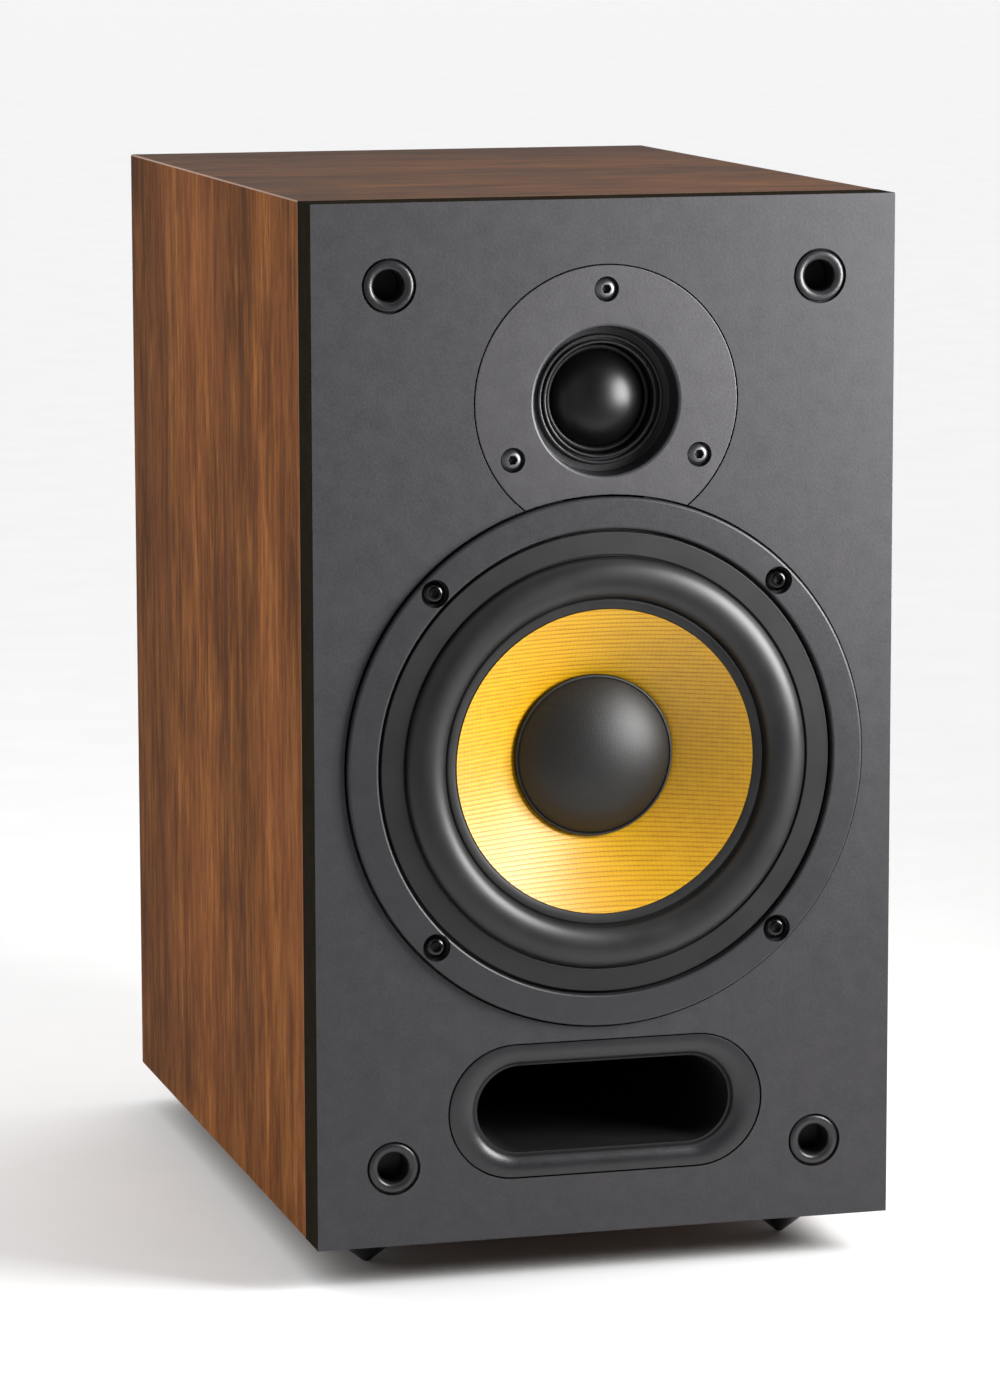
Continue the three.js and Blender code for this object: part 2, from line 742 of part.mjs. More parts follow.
function makeTweeter() {
  const cap = { base: 10.75, rise: 8, thickness: 0.5, steps: 4 };
  const dome = capShell(DOME_RADIUS, cap.base, cap.rise, cap.thickness, cap.steps, MEDIUM);
  const coil = { inner: 12.9, outer: 13.5, front: 11.25, back: 17.5 };
  const sleeve = ring(coil.inner, coil.outer, coil.front, coil.back, MEDIUM);
  const magnet = { inner: 18, outer: 31, front: TWEETER_MAGNET_DEPTH, back: TWEETER_BACK_DEPTH };
  const ferrite = ring(magnet.inner, magnet.outer, magnet.front, magnet.back, MEDIUM);
  add(tweeter, "tweeter_faceplate", faceplate(), RING_PLASTIC);
  add(tweeter, "tweeter_surround", tweeterSurround(), DOME_SILK);
  add(tweeter, "tweeter_dome", dome, DOME_SILK);
  add(tweeter, "tweeter_voice_coil", sleeve, COPPER);
  add(tweeter, "tweeter_top_plate", tweeterTopPlate(), PLATED_STEEL);
  add(tweeter, "tweeter_magnet", ferrite, FERRITE);
  add(tweeter, "tweeter_back_plate", tweeterYoke(), PLATED_STEEL);
  const screwTop = SCREW_WELL_DEPTH - TWEETER_SCREW.headHeight;
  tweeterScrews.forEach(([x, z], i) => {
    add(tweeter, "tweeter_screw_" + (i + 1), moved(screw(TWEETER_SCREW), x, screwTop, z), BLACK_STEEL);
  });
}

// ---- Port and grille sockets ------------------------------------------------------------------

function makePort() {
  const flange = plate(stadium(PORT_FLANGE), 0, PORT_REBATE);
  const mouth = plate(stadium(PORT_MOUTH), -BEYOND, PORT_REBATE + BEYOND);
  add(port, "port_flange", flange.subtract(mouth), RING_PLASTIC);
  const duct = plate(stadium(PORT_BORE, DUCT_WALL), PORT_REBATE, PORT_LENGTH);
  const bore = plate(stadium(PORT_BORE), PORT_REBATE - BEYOND, PORT_LENGTH + BEYOND);
  add(port, "port_duct", duct.subtract(bore), BLACK_PLASTIC);
}

function makeGrilleSockets() {
  const holeDepth = 10;
  for (const [place, [x, height]] of Object.entries(socketPlaces)) {
    const socket = turned(
      [
        [0, holeDepth],
        [SOCKET_HOLE_RADIUS, holeDepth],
        [SOCKET_HOLE_RADIUS, 0],
        [SOCKET_RADIUS, 0],
        [SOCKET_RADIUS, SOCKET_REBATE],
        [SOCKET_BODY_RADIUS, SOCKET_REBATE],
        [SOCKET_BODY_RADIUS, SOCKET_BODY_DEPTH],
        [0, SOCKET_BODY_DEPTH],
      ],
      COARSE,
    );
    add(groupAt(cabinet, x, 0, height), "grille_socket_" + place, socket, RING_PLASTIC);
  }
}

// ---- Terminals. Depths here are measured outwards from the rear face --------------------------

const CUP_FLANGE_THICKNESS = 2;
const STUD_RADIUS = 3;
const COLLAR = { radius: 6.5, height: 4 };
const WASHER = { from: -13.5, to: -12 };
const KNOB = { from: -11.5, to: POST_OVERHANG, radius: 6.5, boreEnd: 2.5 };
const BANANA_RADIUS = 2.1;

function terminalCup() {
  const { halfWidth, halfHeight } = CUP_POCKET;
  const shell = plate(
    roundedRectangle(halfWidth + CUP_WALL, halfHeight + CUP_WALL, CUP_CORNER),
    -CUP_DEPTH - CUP_WALL,
    CUP_FLANGE_THICKNESS,
    CORNER_SEGMENTS,
  );
  const flange = plate(
    roundedRectangle(CUP_FLANGE.halfWidth, CUP_FLANGE.halfHeight, CUP_CORNER),
    0,
    CUP_FLANGE_THICKNESS,
    CORNER_SEGMENTS,
  );
  const pocket = plate(
    roundedRectangle(halfWidth, halfHeight, POCKET_CORNER),
    -CUP_DEPTH,
    CUP_FLANGE_THICKNESS + BEYOND,
    CORNER_SEGMENTS,
  );
  let cup = shell.add(flange).subtract(pocket);
  const studHole = ring(0, STUD_RADIUS + GAP, -CUP_DEPTH - CUP_WALL - 1, 0, COARSE);
  for (const side of [-1, 1]) {
    cup = cup.subtract(moved(studHole, (side * POST_SPACING) / 2, 0, 0));
  }
  const screwHole = ring(0, CUP_SCREW.shankRadius + GAP, -1, CUP_FLANGE_THICKNESS + 1, TINY);
  for (const [x, z] of cupScrews) {
    cup = cup.subtract(moved(screwHole, x, 0, z));
  }
  return cup;
}

// Threaded post with a collar on the cup's floor, a plug bore down its end and a wire hole.
function terminalStud() {
  const innerEnd = -27;
  const outerEnd = 2;
  const boreDepth = -8;
  const floor = -CUP_DEPTH;
  const post = turned(
    [
      [0, innerEnd],
      [STUD_RADIUS, innerEnd],
      [STUD_RADIUS, floor],
      [COLLAR.radius, floor],
      [COLLAR.radius, floor + COLLAR.height],
      [STUD_RADIUS, floor + COLLAR.height],
      [STUD_RADIUS, outerEnd],
      [BANANA_RADIUS, outerEnd],
      [BANANA_RADIUS, boreDepth],
      [0, boreDepth],
    ],
    COARSE,
  );
  const wireHole = { radius: 1, reach: 10, depth: -11 };
  const bore = ring(0, wireHole.radius, -wireHole.reach, wireHole.reach, TINY);
  const across = solid(geometryOf(bore).rotateZ(Math.PI / 2));
  return post.subtract(moved(across, 0, wireHole.depth, 0));
}

// Fluted cap nut with a plug hole in its end.
function terminalKnob() {
  const flutes = { count: 6, radius: 1.5, circle: KNOB.radius + 0.9, start: KNOB.from + 2 };
  const edge = 0.75;
  const plugRadius = BANANA_RADIUS + 0.15;
  const shape = turned(
    [
      [STUD_RADIUS + GAP, KNOB.from],
      [KNOB.radius, KNOB.from],
      [KNOB.radius, KNOB.to - edge],
      [KNOB.radius - edge, KNOB.to],
      [plugRadius, KNOB.to],
      [plugRadius, KNOB.boreEnd],
      [STUD_RADIUS + GAP, KNOB.boreEnd],
    ],
    flutes.count * 3,
  );
  const flute = ring(0, flutes.radius, flutes.start, KNOB.to + 1, TINY);
  return around(flutes.circle, flutes.count, 0).reduce(
    (body, [x, z]) => body.subtract(moved(flute, x, 0, z)),
    shape,
  );
}

function makeTerminals() {
  add(rear, "terminal_cup", terminalCup(), BLACK_PLASTIC);
  const posts = { red: [POST_SPACING / 2, RED_PLASTIC], black: [-POST_SPACING / 2, BLACK_PLASTIC] };
  for (const [colour, [x, plastic]] of Object.entries(posts)) {
    const post = groupAt(rear, x, 0, 0);
    add(post, "terminal_stud_" + colour, terminalStud(), GOLD_PLATE);
    const washer = ring(STUD_RADIUS + GAP, 6.25, WASHER.from, WASHER.to, COARSE);
    add(post, "terminal_washer_" + colour, washer, GOLD_PLATE);
    add(post, "terminal_knob_" + colour, terminalKnob(), plastic);
  }
  cupScrews.forEach(([x, z], i) => {
    const fastener = solid(geometryOf(screw(CUP_SCREW)).rotateZ(Math.PI));
    const head = CUP_FLANGE_THICKNESS + CUP_SCREW.headHeight;
    add(rear, "terminal_screw_" + (i + 1), moved(fastener, x, head, z), BLACK_STEEL);
  });
}

// ---- Crossover and internal leads -------------------------------------------------------------

const BOARD_BACK = -CUP_DEPTH - CUP_WALL;
const BOARD_FRONT = BOARD_BACK - 1.5;

const BOARD = { halfWidth: 55, bottom: -38, top: 60 };
const INDUCTOR = { inner: 8, outer: 17, length: 16, x: 32, z: 38 };
const CAPACITOR = { radius: 9, halfLength: 16, x: -32, z: 36 };
const RESISTOR = { halfWidth: 14, thickness: 9.25, bottom: 22, top: 32 };

function makeCrossover() {
  let board = block(
    [-BOARD.halfWidth, BOARD_FRONT, BOARD.bottom],
    [BOARD.halfWidth, BOARD_BACK, BOARD.top],
  );
  const hole = ring(0, STUD_RADIUS + GAP, BOARD_FRONT - 1, BOARD_BACK + 1, COARSE);
  for (const side of [-1, 1]) {
    board = board.subtract(moved(hole, (side * POST_SPACING) / 2, 0, 0));
  }
  add(rear, "crossover_board", board, BOARD_GREEN);
  const coil = ring(INDUCTOR.inner, INDUCTOR.outer, BOARD_FRONT - INDUCTOR.length, BOARD_FRONT, MEDIUM);
  add(rear, "crossover_inductor", moved(coil, INDUCTOR.x, 0, INDUCTOR.z), COPPER);
  const { radius, halfLength, x, z } = CAPACITOR;
  const can = upright(ring(0, radius, -halfLength, halfLength, MEDIUM));
  add(rear, "crossover_capacitor", moved(can, x, BOARD_FRONT - radius - GAP, z), FILM);
  const resistorBack = BOARD_FRONT - 0.25;
  const resistor = block(
    [-RESISTOR.halfWidth, resistorBack - RESISTOR.thickness, RESISTOR.bottom],
    [RESISTOR.halfWidth, resistorBack, RESISTOR.top],
  );
  add(rear, "crossover_resistor", resistor, CEMENT);
}

// A round lead along a smooth curve through [x, depth, height] points in the cabinet.
function lead(points) {
  const radius = 1.5;
  const path = new THREE.CatmullRomCurve3(points.map((p) => new THREE.Vector3(...p)));
  const section = new THREE.Shape();
  section.absarc(0, 0, radius, 0, 2 * Math.PI);
  const extruded = new THREE.ExtrudeGeometry(section, {
    steps: 20,
    curveSegments: 4,
    extrudePath: path,
  });
  return solid(extruded);
}

function makeLeads() {
  const boardFace = CABINET_DEPTH + BOARD_FRONT - 0.5;
  const wooferLead = lead([
    [45, boardFace, 70],
    [46, boardFace - 12, 70],
    [50, boardFace - 45, 74],
    [54, 150, 84],
    [54, 110, 90],
    [50, 75, 104],
    [46, 55, 118],
    [45.5, 40, 124],
  ]);
  add(cabinet, "woofer_lead", wooferLead, WIRE);
  const tweeterLead = lead([
    [-48, boardFace, 130],
    [-48, boardFace - 12, 131],
    [-46, boardFace - 50, 158],
    [-40, 160, 184],
    [-36, 136, 186],
    [-30, 110, 190],
    [-22, 70, 215],
    [-18, 45, 238],
    [-18, 31, 242],
  ]);
  add(cabinet, "tweeter_lead", tweeterLead, WIRE);
}

makeCabinet();
makeSpikes();
makeWoofer();
makeTweeter();
makePort();
makeGrilleSockets();
makeTerminals();
makeCrossover();
makeLeads();

export default speaker;
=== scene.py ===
"""A two-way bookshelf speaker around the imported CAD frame: every visible piece is rebuilt as a fine mesh.

Lengths in this script are millimetres in the CAD frame, and become metres where a mesh is made. Depths are
measured inwards from the baffle's front plane, along +Y.
"""
import json
import math

import bmesh
import bpy
import numpy as np
from mathutils import Euler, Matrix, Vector


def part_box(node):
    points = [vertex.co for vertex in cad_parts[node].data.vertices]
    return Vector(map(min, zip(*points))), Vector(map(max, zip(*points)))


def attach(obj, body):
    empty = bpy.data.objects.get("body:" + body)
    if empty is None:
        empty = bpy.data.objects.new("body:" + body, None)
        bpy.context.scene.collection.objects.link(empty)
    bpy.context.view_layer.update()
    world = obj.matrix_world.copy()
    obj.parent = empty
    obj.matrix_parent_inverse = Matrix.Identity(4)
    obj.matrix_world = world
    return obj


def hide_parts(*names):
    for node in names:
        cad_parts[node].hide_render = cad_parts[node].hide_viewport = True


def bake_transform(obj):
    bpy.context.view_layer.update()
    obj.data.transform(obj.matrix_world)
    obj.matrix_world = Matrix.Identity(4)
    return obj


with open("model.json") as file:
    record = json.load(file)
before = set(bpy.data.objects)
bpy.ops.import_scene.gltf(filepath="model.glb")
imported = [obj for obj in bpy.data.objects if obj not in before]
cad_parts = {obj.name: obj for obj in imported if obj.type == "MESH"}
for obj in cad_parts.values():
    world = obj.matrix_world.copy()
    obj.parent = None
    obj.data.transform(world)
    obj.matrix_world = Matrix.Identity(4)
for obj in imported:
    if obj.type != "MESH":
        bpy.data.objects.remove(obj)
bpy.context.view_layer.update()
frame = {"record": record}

MM = 0.001

# Sides of a turned part, by its size, and how far a cutter reaches past the faces that it opens.
FINE = 160
ROUND = 96
SMALL = 48
BEYOND = 5

# ---- The frame ---------------------------------------------------------------------------------

BEHAVIOUR = frame["record"]["behaviour"]
BODY = {node: body for body, nodes in BEHAVIOUR["bodies"].items() for node in nodes}


def corners(node):
    """The lowest and highest corner of a CAD node."""
    low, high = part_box(node)
    return Vector(low) / MM, Vector(high) / MM


def middle(node):
    low, high = corners(node)
    return (low + high) / 2


def half_size(node):
    low, high = corners(node)
    return (high - low) / 2


BAFFLE_LOW, BAFFLE_HIGH = corners("front_baffle")
FRONT = BAFFLE_LOW.y
BAFFLE_DEPTH = BAFFLE_HIGH.y - BAFFLE_LOW.y
REAR = corners("rear_panel")[1].y


def on_front(node):
    """The point on the baffle's front plane that a node is centred on."""
    centre = middle(node)
    return Vector((centre.x, FRONT, centre.z))


def on_rear(node):
    """The point on the rear face that a node is centred on."""
    centre = middle(node)
    return Vector((centre.x, REAR, centre.z))


CABINET_LOW, CABINET_HIGH = corners("left_side_panel")[0], corners("right_side_panel")[1]
PANEL = 2 * half_size("left_side_panel").x
WOOFER = on_front("woofer_trim_ring")
TWEETER = on_front("tweeter_dome")
PORT = on_front("port_flange")
TERMINALS = on_rear("terminal_cup")

# ---- Meshes ------------------------------------------------------------------------------------


def mesh_object(name, vertices, faces):
    mesh = bpy.data.meshes.new(name)
    mesh.from_pydata([Vector(v) * MM for v in vertices], [], faces)
    shape = bmesh.new()
    shape.from_mesh(mesh)
    bmesh.ops.recalc_face_normals(shape, faces=shape.faces)
    shape.to_mesh(mesh)
    shape.free()
    obj = bpy.data.objects.new(name, mesh)
    bpy.context.scene.collection.objects.link(obj)
    return obj


def fillet(outline, steps=5, closed=True):
    """Rounds the corners of an outline that are given with a third number, their radius."""
    points = []
    count = len(outline)
    for i, corner in enumerate(outline):
        here = Vector(corner[:2])
        if len(corner) < 3 or (not closed and i in (0, count - 1)):
            points.append(tuple(here))
            continue
        before = (Vector(outline[i - 1][:2]) - here).normalized()
        after = (Vector(outline[(i + 1) % count][:2]) - here).normalized()
        half = before.angle(after) / 2
        centre = here + (before + after).normalized() * corner[2] / math.sin(half)
        start = here + before * corner[2] / math.tan(half) - centre
        end = here + after * corner[2] / math.tan(half) - centre
        turn = start.angle_signed(end)
        for k in range(steps + 1):
            points.append(tuple(centre + rotated(start, -turn * k / steps)))
    return points


def rotated(vector, angle):
    c, s = math.cos(angle), math.sin(angle)
    return Vector((c * vector.x - s * vector.y, s * vector.x + c * vector.y))


def revolve(name, outline, origin, segments=ROUND, upright=False, flutes=None):
    """Turns [radius, distance] points about the Y axis, or about Z if upright, through origin.

    An outline that starts and ends on the axis is a solid body, any other closes on itself. flutes is
    (count, depth, least radius): grooves along the parts that lie beyond that radius.
    """
    vertices, faces, rings = [], [], []
    for radius, distance in outline:
        on_axis = radius < 1e-6
        ring = []
        for k in range(1 if on_axis else segments):
            angle = 2 * math.pi * k / segments
            reach = radius
            if flutes and radius > flutes[2]:
                reach -= flutes[1] * max(0.0, math.cos(flutes[0] * angle)) ** 2
            a, b = reach * math.cos(angle), reach * math.sin(angle)
            offset = Vector((a, b, distance)) if upright else Vector((a, distance, b))
            ring.append(len(vertices))
            vertices.append(origin + offset)
        rings.append(ring)
    solid = len(rings[0]) == 1
    followers = rings[1:] if solid else rings[1:] + rings[:1]
    for first, second in zip(rings, followers):
        for k in range(segments):
            after = (k + 1) % segments
            if len(first) == 1 and len(second) == 1:
                break
            if len(first) == 1:
                faces.append((first[0], second[after], second[k]))
            elif len(second) == 1:
                faces.append((first[k], first[after], second[0]))
            else:
                faces.append((first[k], first[after], second[after], second[k]))
    return mesh_object(name, vertices, faces)


def stadium(half_width, half_height, margin=0.0, steps=24):
    """A slot with round ends, grown by a margin, as [x, z] points."""
    radius = half_height + margin
    side = half_width - half_height
    points = []
    for centre, first in ((side, -90), (-side, 90)):
        for k in range(steps + 1):
            angle = math.radians(first + 180 * k / steps)
            points.append((centre + radius * math.cos(angle), radius * math.sin(angle)))
    return points


def round_box(half_width, half_height, radius, margin=0.0, steps=8):
    """A rectangle with round corners, grown by a margin, as [x, z] points."""
    points = []
    for quarter, (sx, sz) in enumerate(((1, 1), (-1, 1), (-1, -1), (1, -1))):
        x = sx * (half_width - radius)
        z = sz * (half_height - radius)
        for k in range(steps + 1):
            angle = math.radians(90 * quarter + 90 * k / steps)
            reach = radius + margin
            points.append((x + reach * math.cos(angle), z + reach * math.sin(angle)))
    return points


def loft(name, section, steps, origin, solid=False):
    """A body with a growing section: steps are [margin, distance], and section(margin) is the outline.

    A solid body is capped at its first and last step; any other is a frame that closes on itself.
    """
    vertices, rings = [], []
    for margin, distance in steps:
        ring = []
        for x, z in section(margin):
            ring.append(len(vertices))
            vertices.append(origin + Vector((x, distance, z)))
        rings.append(ring)
    faces = []
    followers = rings[1:] if solid else rings[1:] + rings[:1]
    for first, second in zip(rings, followers):
        for k in range(len(first)):
            after = (k + 1) % len(first)
            faces.append((first[k], first[after], second[after], second[k]))
    if solid:
        faces += [tuple(rings[0]), tuple(rings[-1])]
    return mesh_object(name, vertices, faces)


def prism(name, outline, front, back):
    """A flat [x, z] outline made solid between two places along Y."""
    count = len(outline)
    vertices = [(x, y, z) for y in (front, back) for x, z in outline]
    faces = [tuple(range(count)), tuple(range(count, 2 * count))]
    for k in range(count):
        after = (k + 1) % count
        faces.append((k, after, count + after, count + k))
    return mesh_object(name, vertices, faces)


def box(name, low, high):
    outline = [(low[0], low[2]), (high[0], low[2]), (high[0], high[2]), (low[0], high[2])]
    return prism(name, outline, low[1], high[1])


def disc(name, radius, front, back, origin, segments=SMALL):
    return revolve(name, [(0, front), (radius, front), (radius, back), (0, back)], origin, segments)


def combine(obj, other, operation):
    """Joins the other object on, or cuts it away, and removes it."""
    step = obj.modifiers.new("combine", "BOOLEAN")
    step.operation = operation
    step.solver = "EXACT"
    step.object = other
    bpy.context.view_layer.update()
    evaluated = obj.evaluated_get(bpy.context.evaluated_depsgraph_get())
    mesh = bpy.data.meshes.new_from_object(evaluated)
    obj.modifiers.clear()
    obj.data = mesh
    bpy.data.objects.remove(other)


def carve(obj, *cutters):
    for cutter in cutters:
        combine(obj, cutter, "DIFFERENCE")
    return obj


def soften(obj, width, segments=2, degrees=40, material=-1):
    """Rounds every edge sharper than an angle. The roundings can have a material slot of their own."""
    bevel = obj.modifiers.new("soft_edges", "BEVEL")
    bevel.material = material
    bevel.width = width * MM
    bevel.segments = segments
    bevel.limit_method = "ANGLE"
    bevel.angle_limit = math.radians(degrees)
    return obj


def smooth(obj, degrees=32):
    obj.data.shade_smooth()
    obj.data.set_sharp_from_angle(angle=math.radians(degrees))
    return obj


def keep_flats_flat(obj):
    """Lets the large faces decide the shading normals, so that a small fillet doesn't tilt them."""
    weighted = obj.modifiers.new("flat_faces", "WEIGHTED_NORMAL")
    weighted.keep_sharp = True
    return obj


def tube(points, radius, sides=16, per_span=8):
    """Vertices and faces of a round tube along a smooth curve through the points, with flat ends."""
    path = smooth_path(points, per_span)
    vertices, faces = [], []
    side = Vector((0, 0, 1))
    last = len(path) - 1
    for i, point in enumerate(path):
        ahead = (path[min(i + 1, last)] - path[max(i - 1, 0)]).normalized()
        side = (side - ahead * side.dot(ahead)).normalized()
        other = ahead.cross(side)
        for k in range(sides):
            angle = 2 * math.pi * k / sides
            vertices.append(point + radius * (math.cos(angle) * side + math.sin(angle) * other))
    for i in range(last):
        for k in range(sides):
            after = (k + 1) % sides
            a, b = i * sides, (i + 1) * sides
            faces.append((a + k, a + after, b + after, b + k))
    faces += [tuple(range(sides)), tuple(range(last * sides, (last + 1) * sides))]
    return vertices, faces


def smooth_path(points, per_span):
    """A Catmull-Rom curve through the points."""
    points = [Vector(p) for p in points]
    padded = [2 * points[0] - points[1], *points, 2 * points[-1] - points[-2]]
    path = []
    for a, b, c, d in zip(padded, padded[1:], padded[2:], padded[3:]):
        for k in range(per_span):
            t = k / per_span
            quadratic = (2 * a - 5 * b + 4 * c - d) * t * t
            cubic = (3 * b - a - 3 * c + d) * t ** 3
            path.append(0.5 * (2 * b + (c - a) * t + quadratic + cubic))
    path.append(points[-1])
    return path


def joined(name, parts):
    """One object from several (vertices, faces) lists."""
    vertices, faces = [], []
    for more_vertices, more_faces in parts:
        start = len(vertices)
        vertices += more_vertices
        faces += [tuple(start + i for i in face) for face in more_faces]
    return mesh_object(name, vertices, faces)


def around(origin, radius, count, first_degrees):
    """Points round a circle in the baffle's plane."""
    places = []
    for k in range(count):
        angle = math.radians(first_degrees + 360 * k / count)
        places.append(origin + Vector((radius * math.cos(angle), 0, radius * math.sin(angle))))
    return places


def stand_for(obj, node, *finishes, angle=32):
    """Finishes a piece and puts it in the place of a CAD node, on that node's body."""
    obj.name = node + "_finished"
    obj.data.materials.clear()
    for material in finishes:
        obj.data.materials.append(material)
    smooth(obj, angle)
    keep_flats_flat(obj)
    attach(obj, BODY[node])
    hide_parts(node)
    return obj


def turned(node, outline, origin, *finishes, closed=True, segments=ROUND, upright=False):
    """A turned part in the place of a CAD node, from an outline whose corners may be rounded."""
    shape = revolve(node, fillet(outline, closed=closed), origin, segments, upright)
    return stand_for(shape, node, *finishes)


def flex_between(obj, node, material):
    """A ring between the diaphragm's body at its inner edge and the housing at its outer edge, finished and
    baked in place.
    """
    obj.name = node + "_finished"
    obj.data.materials.clear()
    obj.data.materials.append(material)
    smooth(obj, 50)
    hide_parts(node)
    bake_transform(obj)
    return obj


# ---- Materials ---------------------------------------------------------------------------------


def rgb(red, green, blue):
    """A display colour, 0 to 255, as a linear colour."""
    def linear(value):
        value /= 255
        return value / 12.92 if value <= 0.04045 else ((value + 0.055) / 1.055) ** 2.4

    return (linear(red), linear(green), linear(blue), 1.0)


def toned(colour, factor):
    return tuple(min(1.0, c * factor) for c in colour[:3]) + (1.0,)


class Finish:
    """A material's node graph, with textures placed in the object's own space in millimetres."""

    def __init__(self, name, roughness, **sockets):
        self.material = bpy.data.materials.new(name)
        self.material.use_nodes = True
        self.tree = self.material.node_tree
        self.shader = self.tree.nodes["Principled BSDF"]
        self.shader.inputs["Roughness"].default_value = roughness
        for socket, value in sockets.items():
            self.shader.inputs[socket.replace("_", " ")].default_value = value
        self.height = None

    def node(self, kind, inputs, output=0, **settings):
        node = self.tree.nodes.new(kind)
        for name, value in settings.items():
            setattr(node, name, value)
        for socket, value in inputs.items():
            if isinstance(value, bpy.types.NodeSocket):
                self.tree.links.new(value, node.inputs[socket])
            else:
                node.inputs[socket].default_value = value
        return node.outputs[output]

    def space(self, x, y, z):
        """Object coordinates scaled to so many features per millimetre along each axis."""
        place = self.node("ShaderNodeTexCoord", {}, "Object")
        return self.node("ShaderNodeMapping", {"Vector": place, "Scale": (x / MM, y / MM, z / MM)})

    def noise(self, x, y, z, detail=2.0, roughness=0.5, distortion=0.0):
        inputs = {
            "Vector": self.space(x, y, z),
            "Scale": 1.0,
            "Detail": detail,
            "Roughness": roughness,
            "Distortion": distortion,
        }
        return self.node("ShaderNodeTexNoise", inputs)

    def grain(self, size, **settings):
        """Noise of one scale in every direction."""
        return self.noise(size, size, size, **settings)

    def along(self, axis):
        """The object coordinate along one axis, in metres."""
        place = self.node("ShaderNodeTexCoord", {}, "Object")
        return self.node("ShaderNodeSeparateXYZ", {0: place}, axis)

    def total(self, *shares):
        """The sum of [texture, share] pairs."""
        result = 0.0
        for texture, share in shares:
            result = self.math("ADD", self.math("MULTIPLY", texture, share), result)
        return result

    def ramp(self, factor, *stops):
        """Colours, or greys given as one number, at places from 0 to 1."""
        output = self.node("ShaderNodeValToRGB", {"Fac": factor})
        elements = output.node.color_ramp.elements
        while len(elements) < len(stops):
            elements.new(0.5)
        for element, (place, colour) in zip(elements, stops):
            element.position = place
            element.color = colour if isinstance(colour, tuple) else (colour, colour, colour, 1)
        return output

    def math(self, operation, first, second=0.0):
        return self.node("ShaderNodeMath", {0: first, 1: second}, operation=operation)

    def mix(self, factor, first, second, blend="MIX"):
        return self.node(
            "ShaderNodeMix", {0: factor, 6: first, 7: second}, 2, data_type="RGBA", blend_type=blend
        )

    def colour(self, source):
        if isinstance(source, tuple):
            self.shader.inputs["Base Color"].default_value = source
        else:
            self.tree.links.new(source, self.shader.inputs["Base Color"])

    def shine(self, factor, low, high):
        """Roughness that varies between two values."""
        varied = self.node("ShaderNodeMapRange", {"Value": factor, "To Min": low, "To Max": high})
        self.tree.links.new(varied, self.shader.inputs["Roughness"])

    def bump(self, source, distance, strength=1.0):
        """Relief from a height, in millimetres, over any relief made before."""
        inputs = {"Height": source, "Distance": distance * MM, "Strength": strength}
        if self.height is not None:
            inputs["Normal"] = self.height
        self.height = self.node("ShaderNodeBump", inputs)
        self.tree.links.new(self.height, self.shader.inputs["Normal"])


def walnut(name, along, across, tone, bands):
    """Walnut-look vinyl veneer with its grain along X or Z.

    bands are [place, brightness] across the panel, from 0 at its low edge to 1 at its high edge. Short wavy
    streaks, fibres and dark pores lie over them.
    """
    finish = Finish(name, 0.6, Specular_IOR_Level=0.015)

    def drawn_out(width, length, **settings):
        scale = (length, width, width) if along == "X" else (width, width, length)
        return finish.noise(*scale, **settings)

    streaks = drawn_out(0.15, 0.018, detail=4.0, roughness=0.6, distortion=0.5)
    fibres = drawn_out(0.5, 0.06, detail=4.0, roughness=0.7, distortion=0.2)
    ripple = drawn_out(0.05, 0.03, detail=3.0)
    patches = drawn_out(0.04, 0.009, detail=2.0)
    pores = drawn_out(2.6, 0.16, detail=2.0, roughness=0.6)
    figure = finish.total((streaks, 0.38), (fibres, 0.34), (ripple, 0.16), (patches, 0.12))
    wood = finish.ramp(
        figure,
        (0.38, rgb(78, 42, 17)),
        (0.46, rgb(98, 57, 24)),
        (0.53, rgb(124, 76, 36)),
        (0.62, rgb(152, 100, 54)),
    )
    red = finish.ramp(patches, (0.45, 0.0), (0.65, 0.3))
    wood = finish.mix(red, wood, rgb(124, 68, 38))
    wood = finish.mix(1.0, wood, finish.ramp(pores, (0.30, 0.7), (0.44, 1.0)), "MULTIPLY")

    axis = "XYZ".index(across)
    start, end = CABINET_LOW[axis] * MM, CABINET_HIGH[axis] * MM
    width = {"Value": finish.along(across), "From Min": start, "From Max": end}
    share = finish.node("ShaderNodeMapRange", width)
    wander = 0.16
    waver = finish.math("MULTIPLY", drawn_out(0.02, 0.006, detail=3.0), wander)
    share = finish.math("ADD", share, finish.math("SUBTRACT", waver, wander / 2))
    level = finish.ramp(share, *bands)
    level.node.color_ramp.interpolation = "EASE"
    wood = finish.mix(1.0, wood, level, "MULTIPLY")
    finish.colour(finish.mix(1.0, wood, (tone, tone, tone, 1), "MULTIPLY"))
    finish.shine(streaks, 0.52, 0.7)
    finish.bump(pores, 0.035, 0.5)
    return finish.material


def vinyl(name, colour, deep, roughness, specular):
    """Dark grained vinyl, or a moulding spark-eroded to match it."""
    finish = Finish(name, roughness, Specular_IOR_Level=specular)
    grain = finish.grain(1.1, detail=5.0, roughness=0.65)
    mottle = finish.grain(0.16, detail=4.0, roughness=0.7)
    speck = finish.total((grain, 0.55), (mottle, 0.45))
    finish.colour(finish.ramp(speck, (0.35, deep), (0.65, colour)))
    finish.shine(speck, roughness - 0.1, roughness + 0.12)
    finish.bump(grain, 0.07, 0.6)
    return finish.material


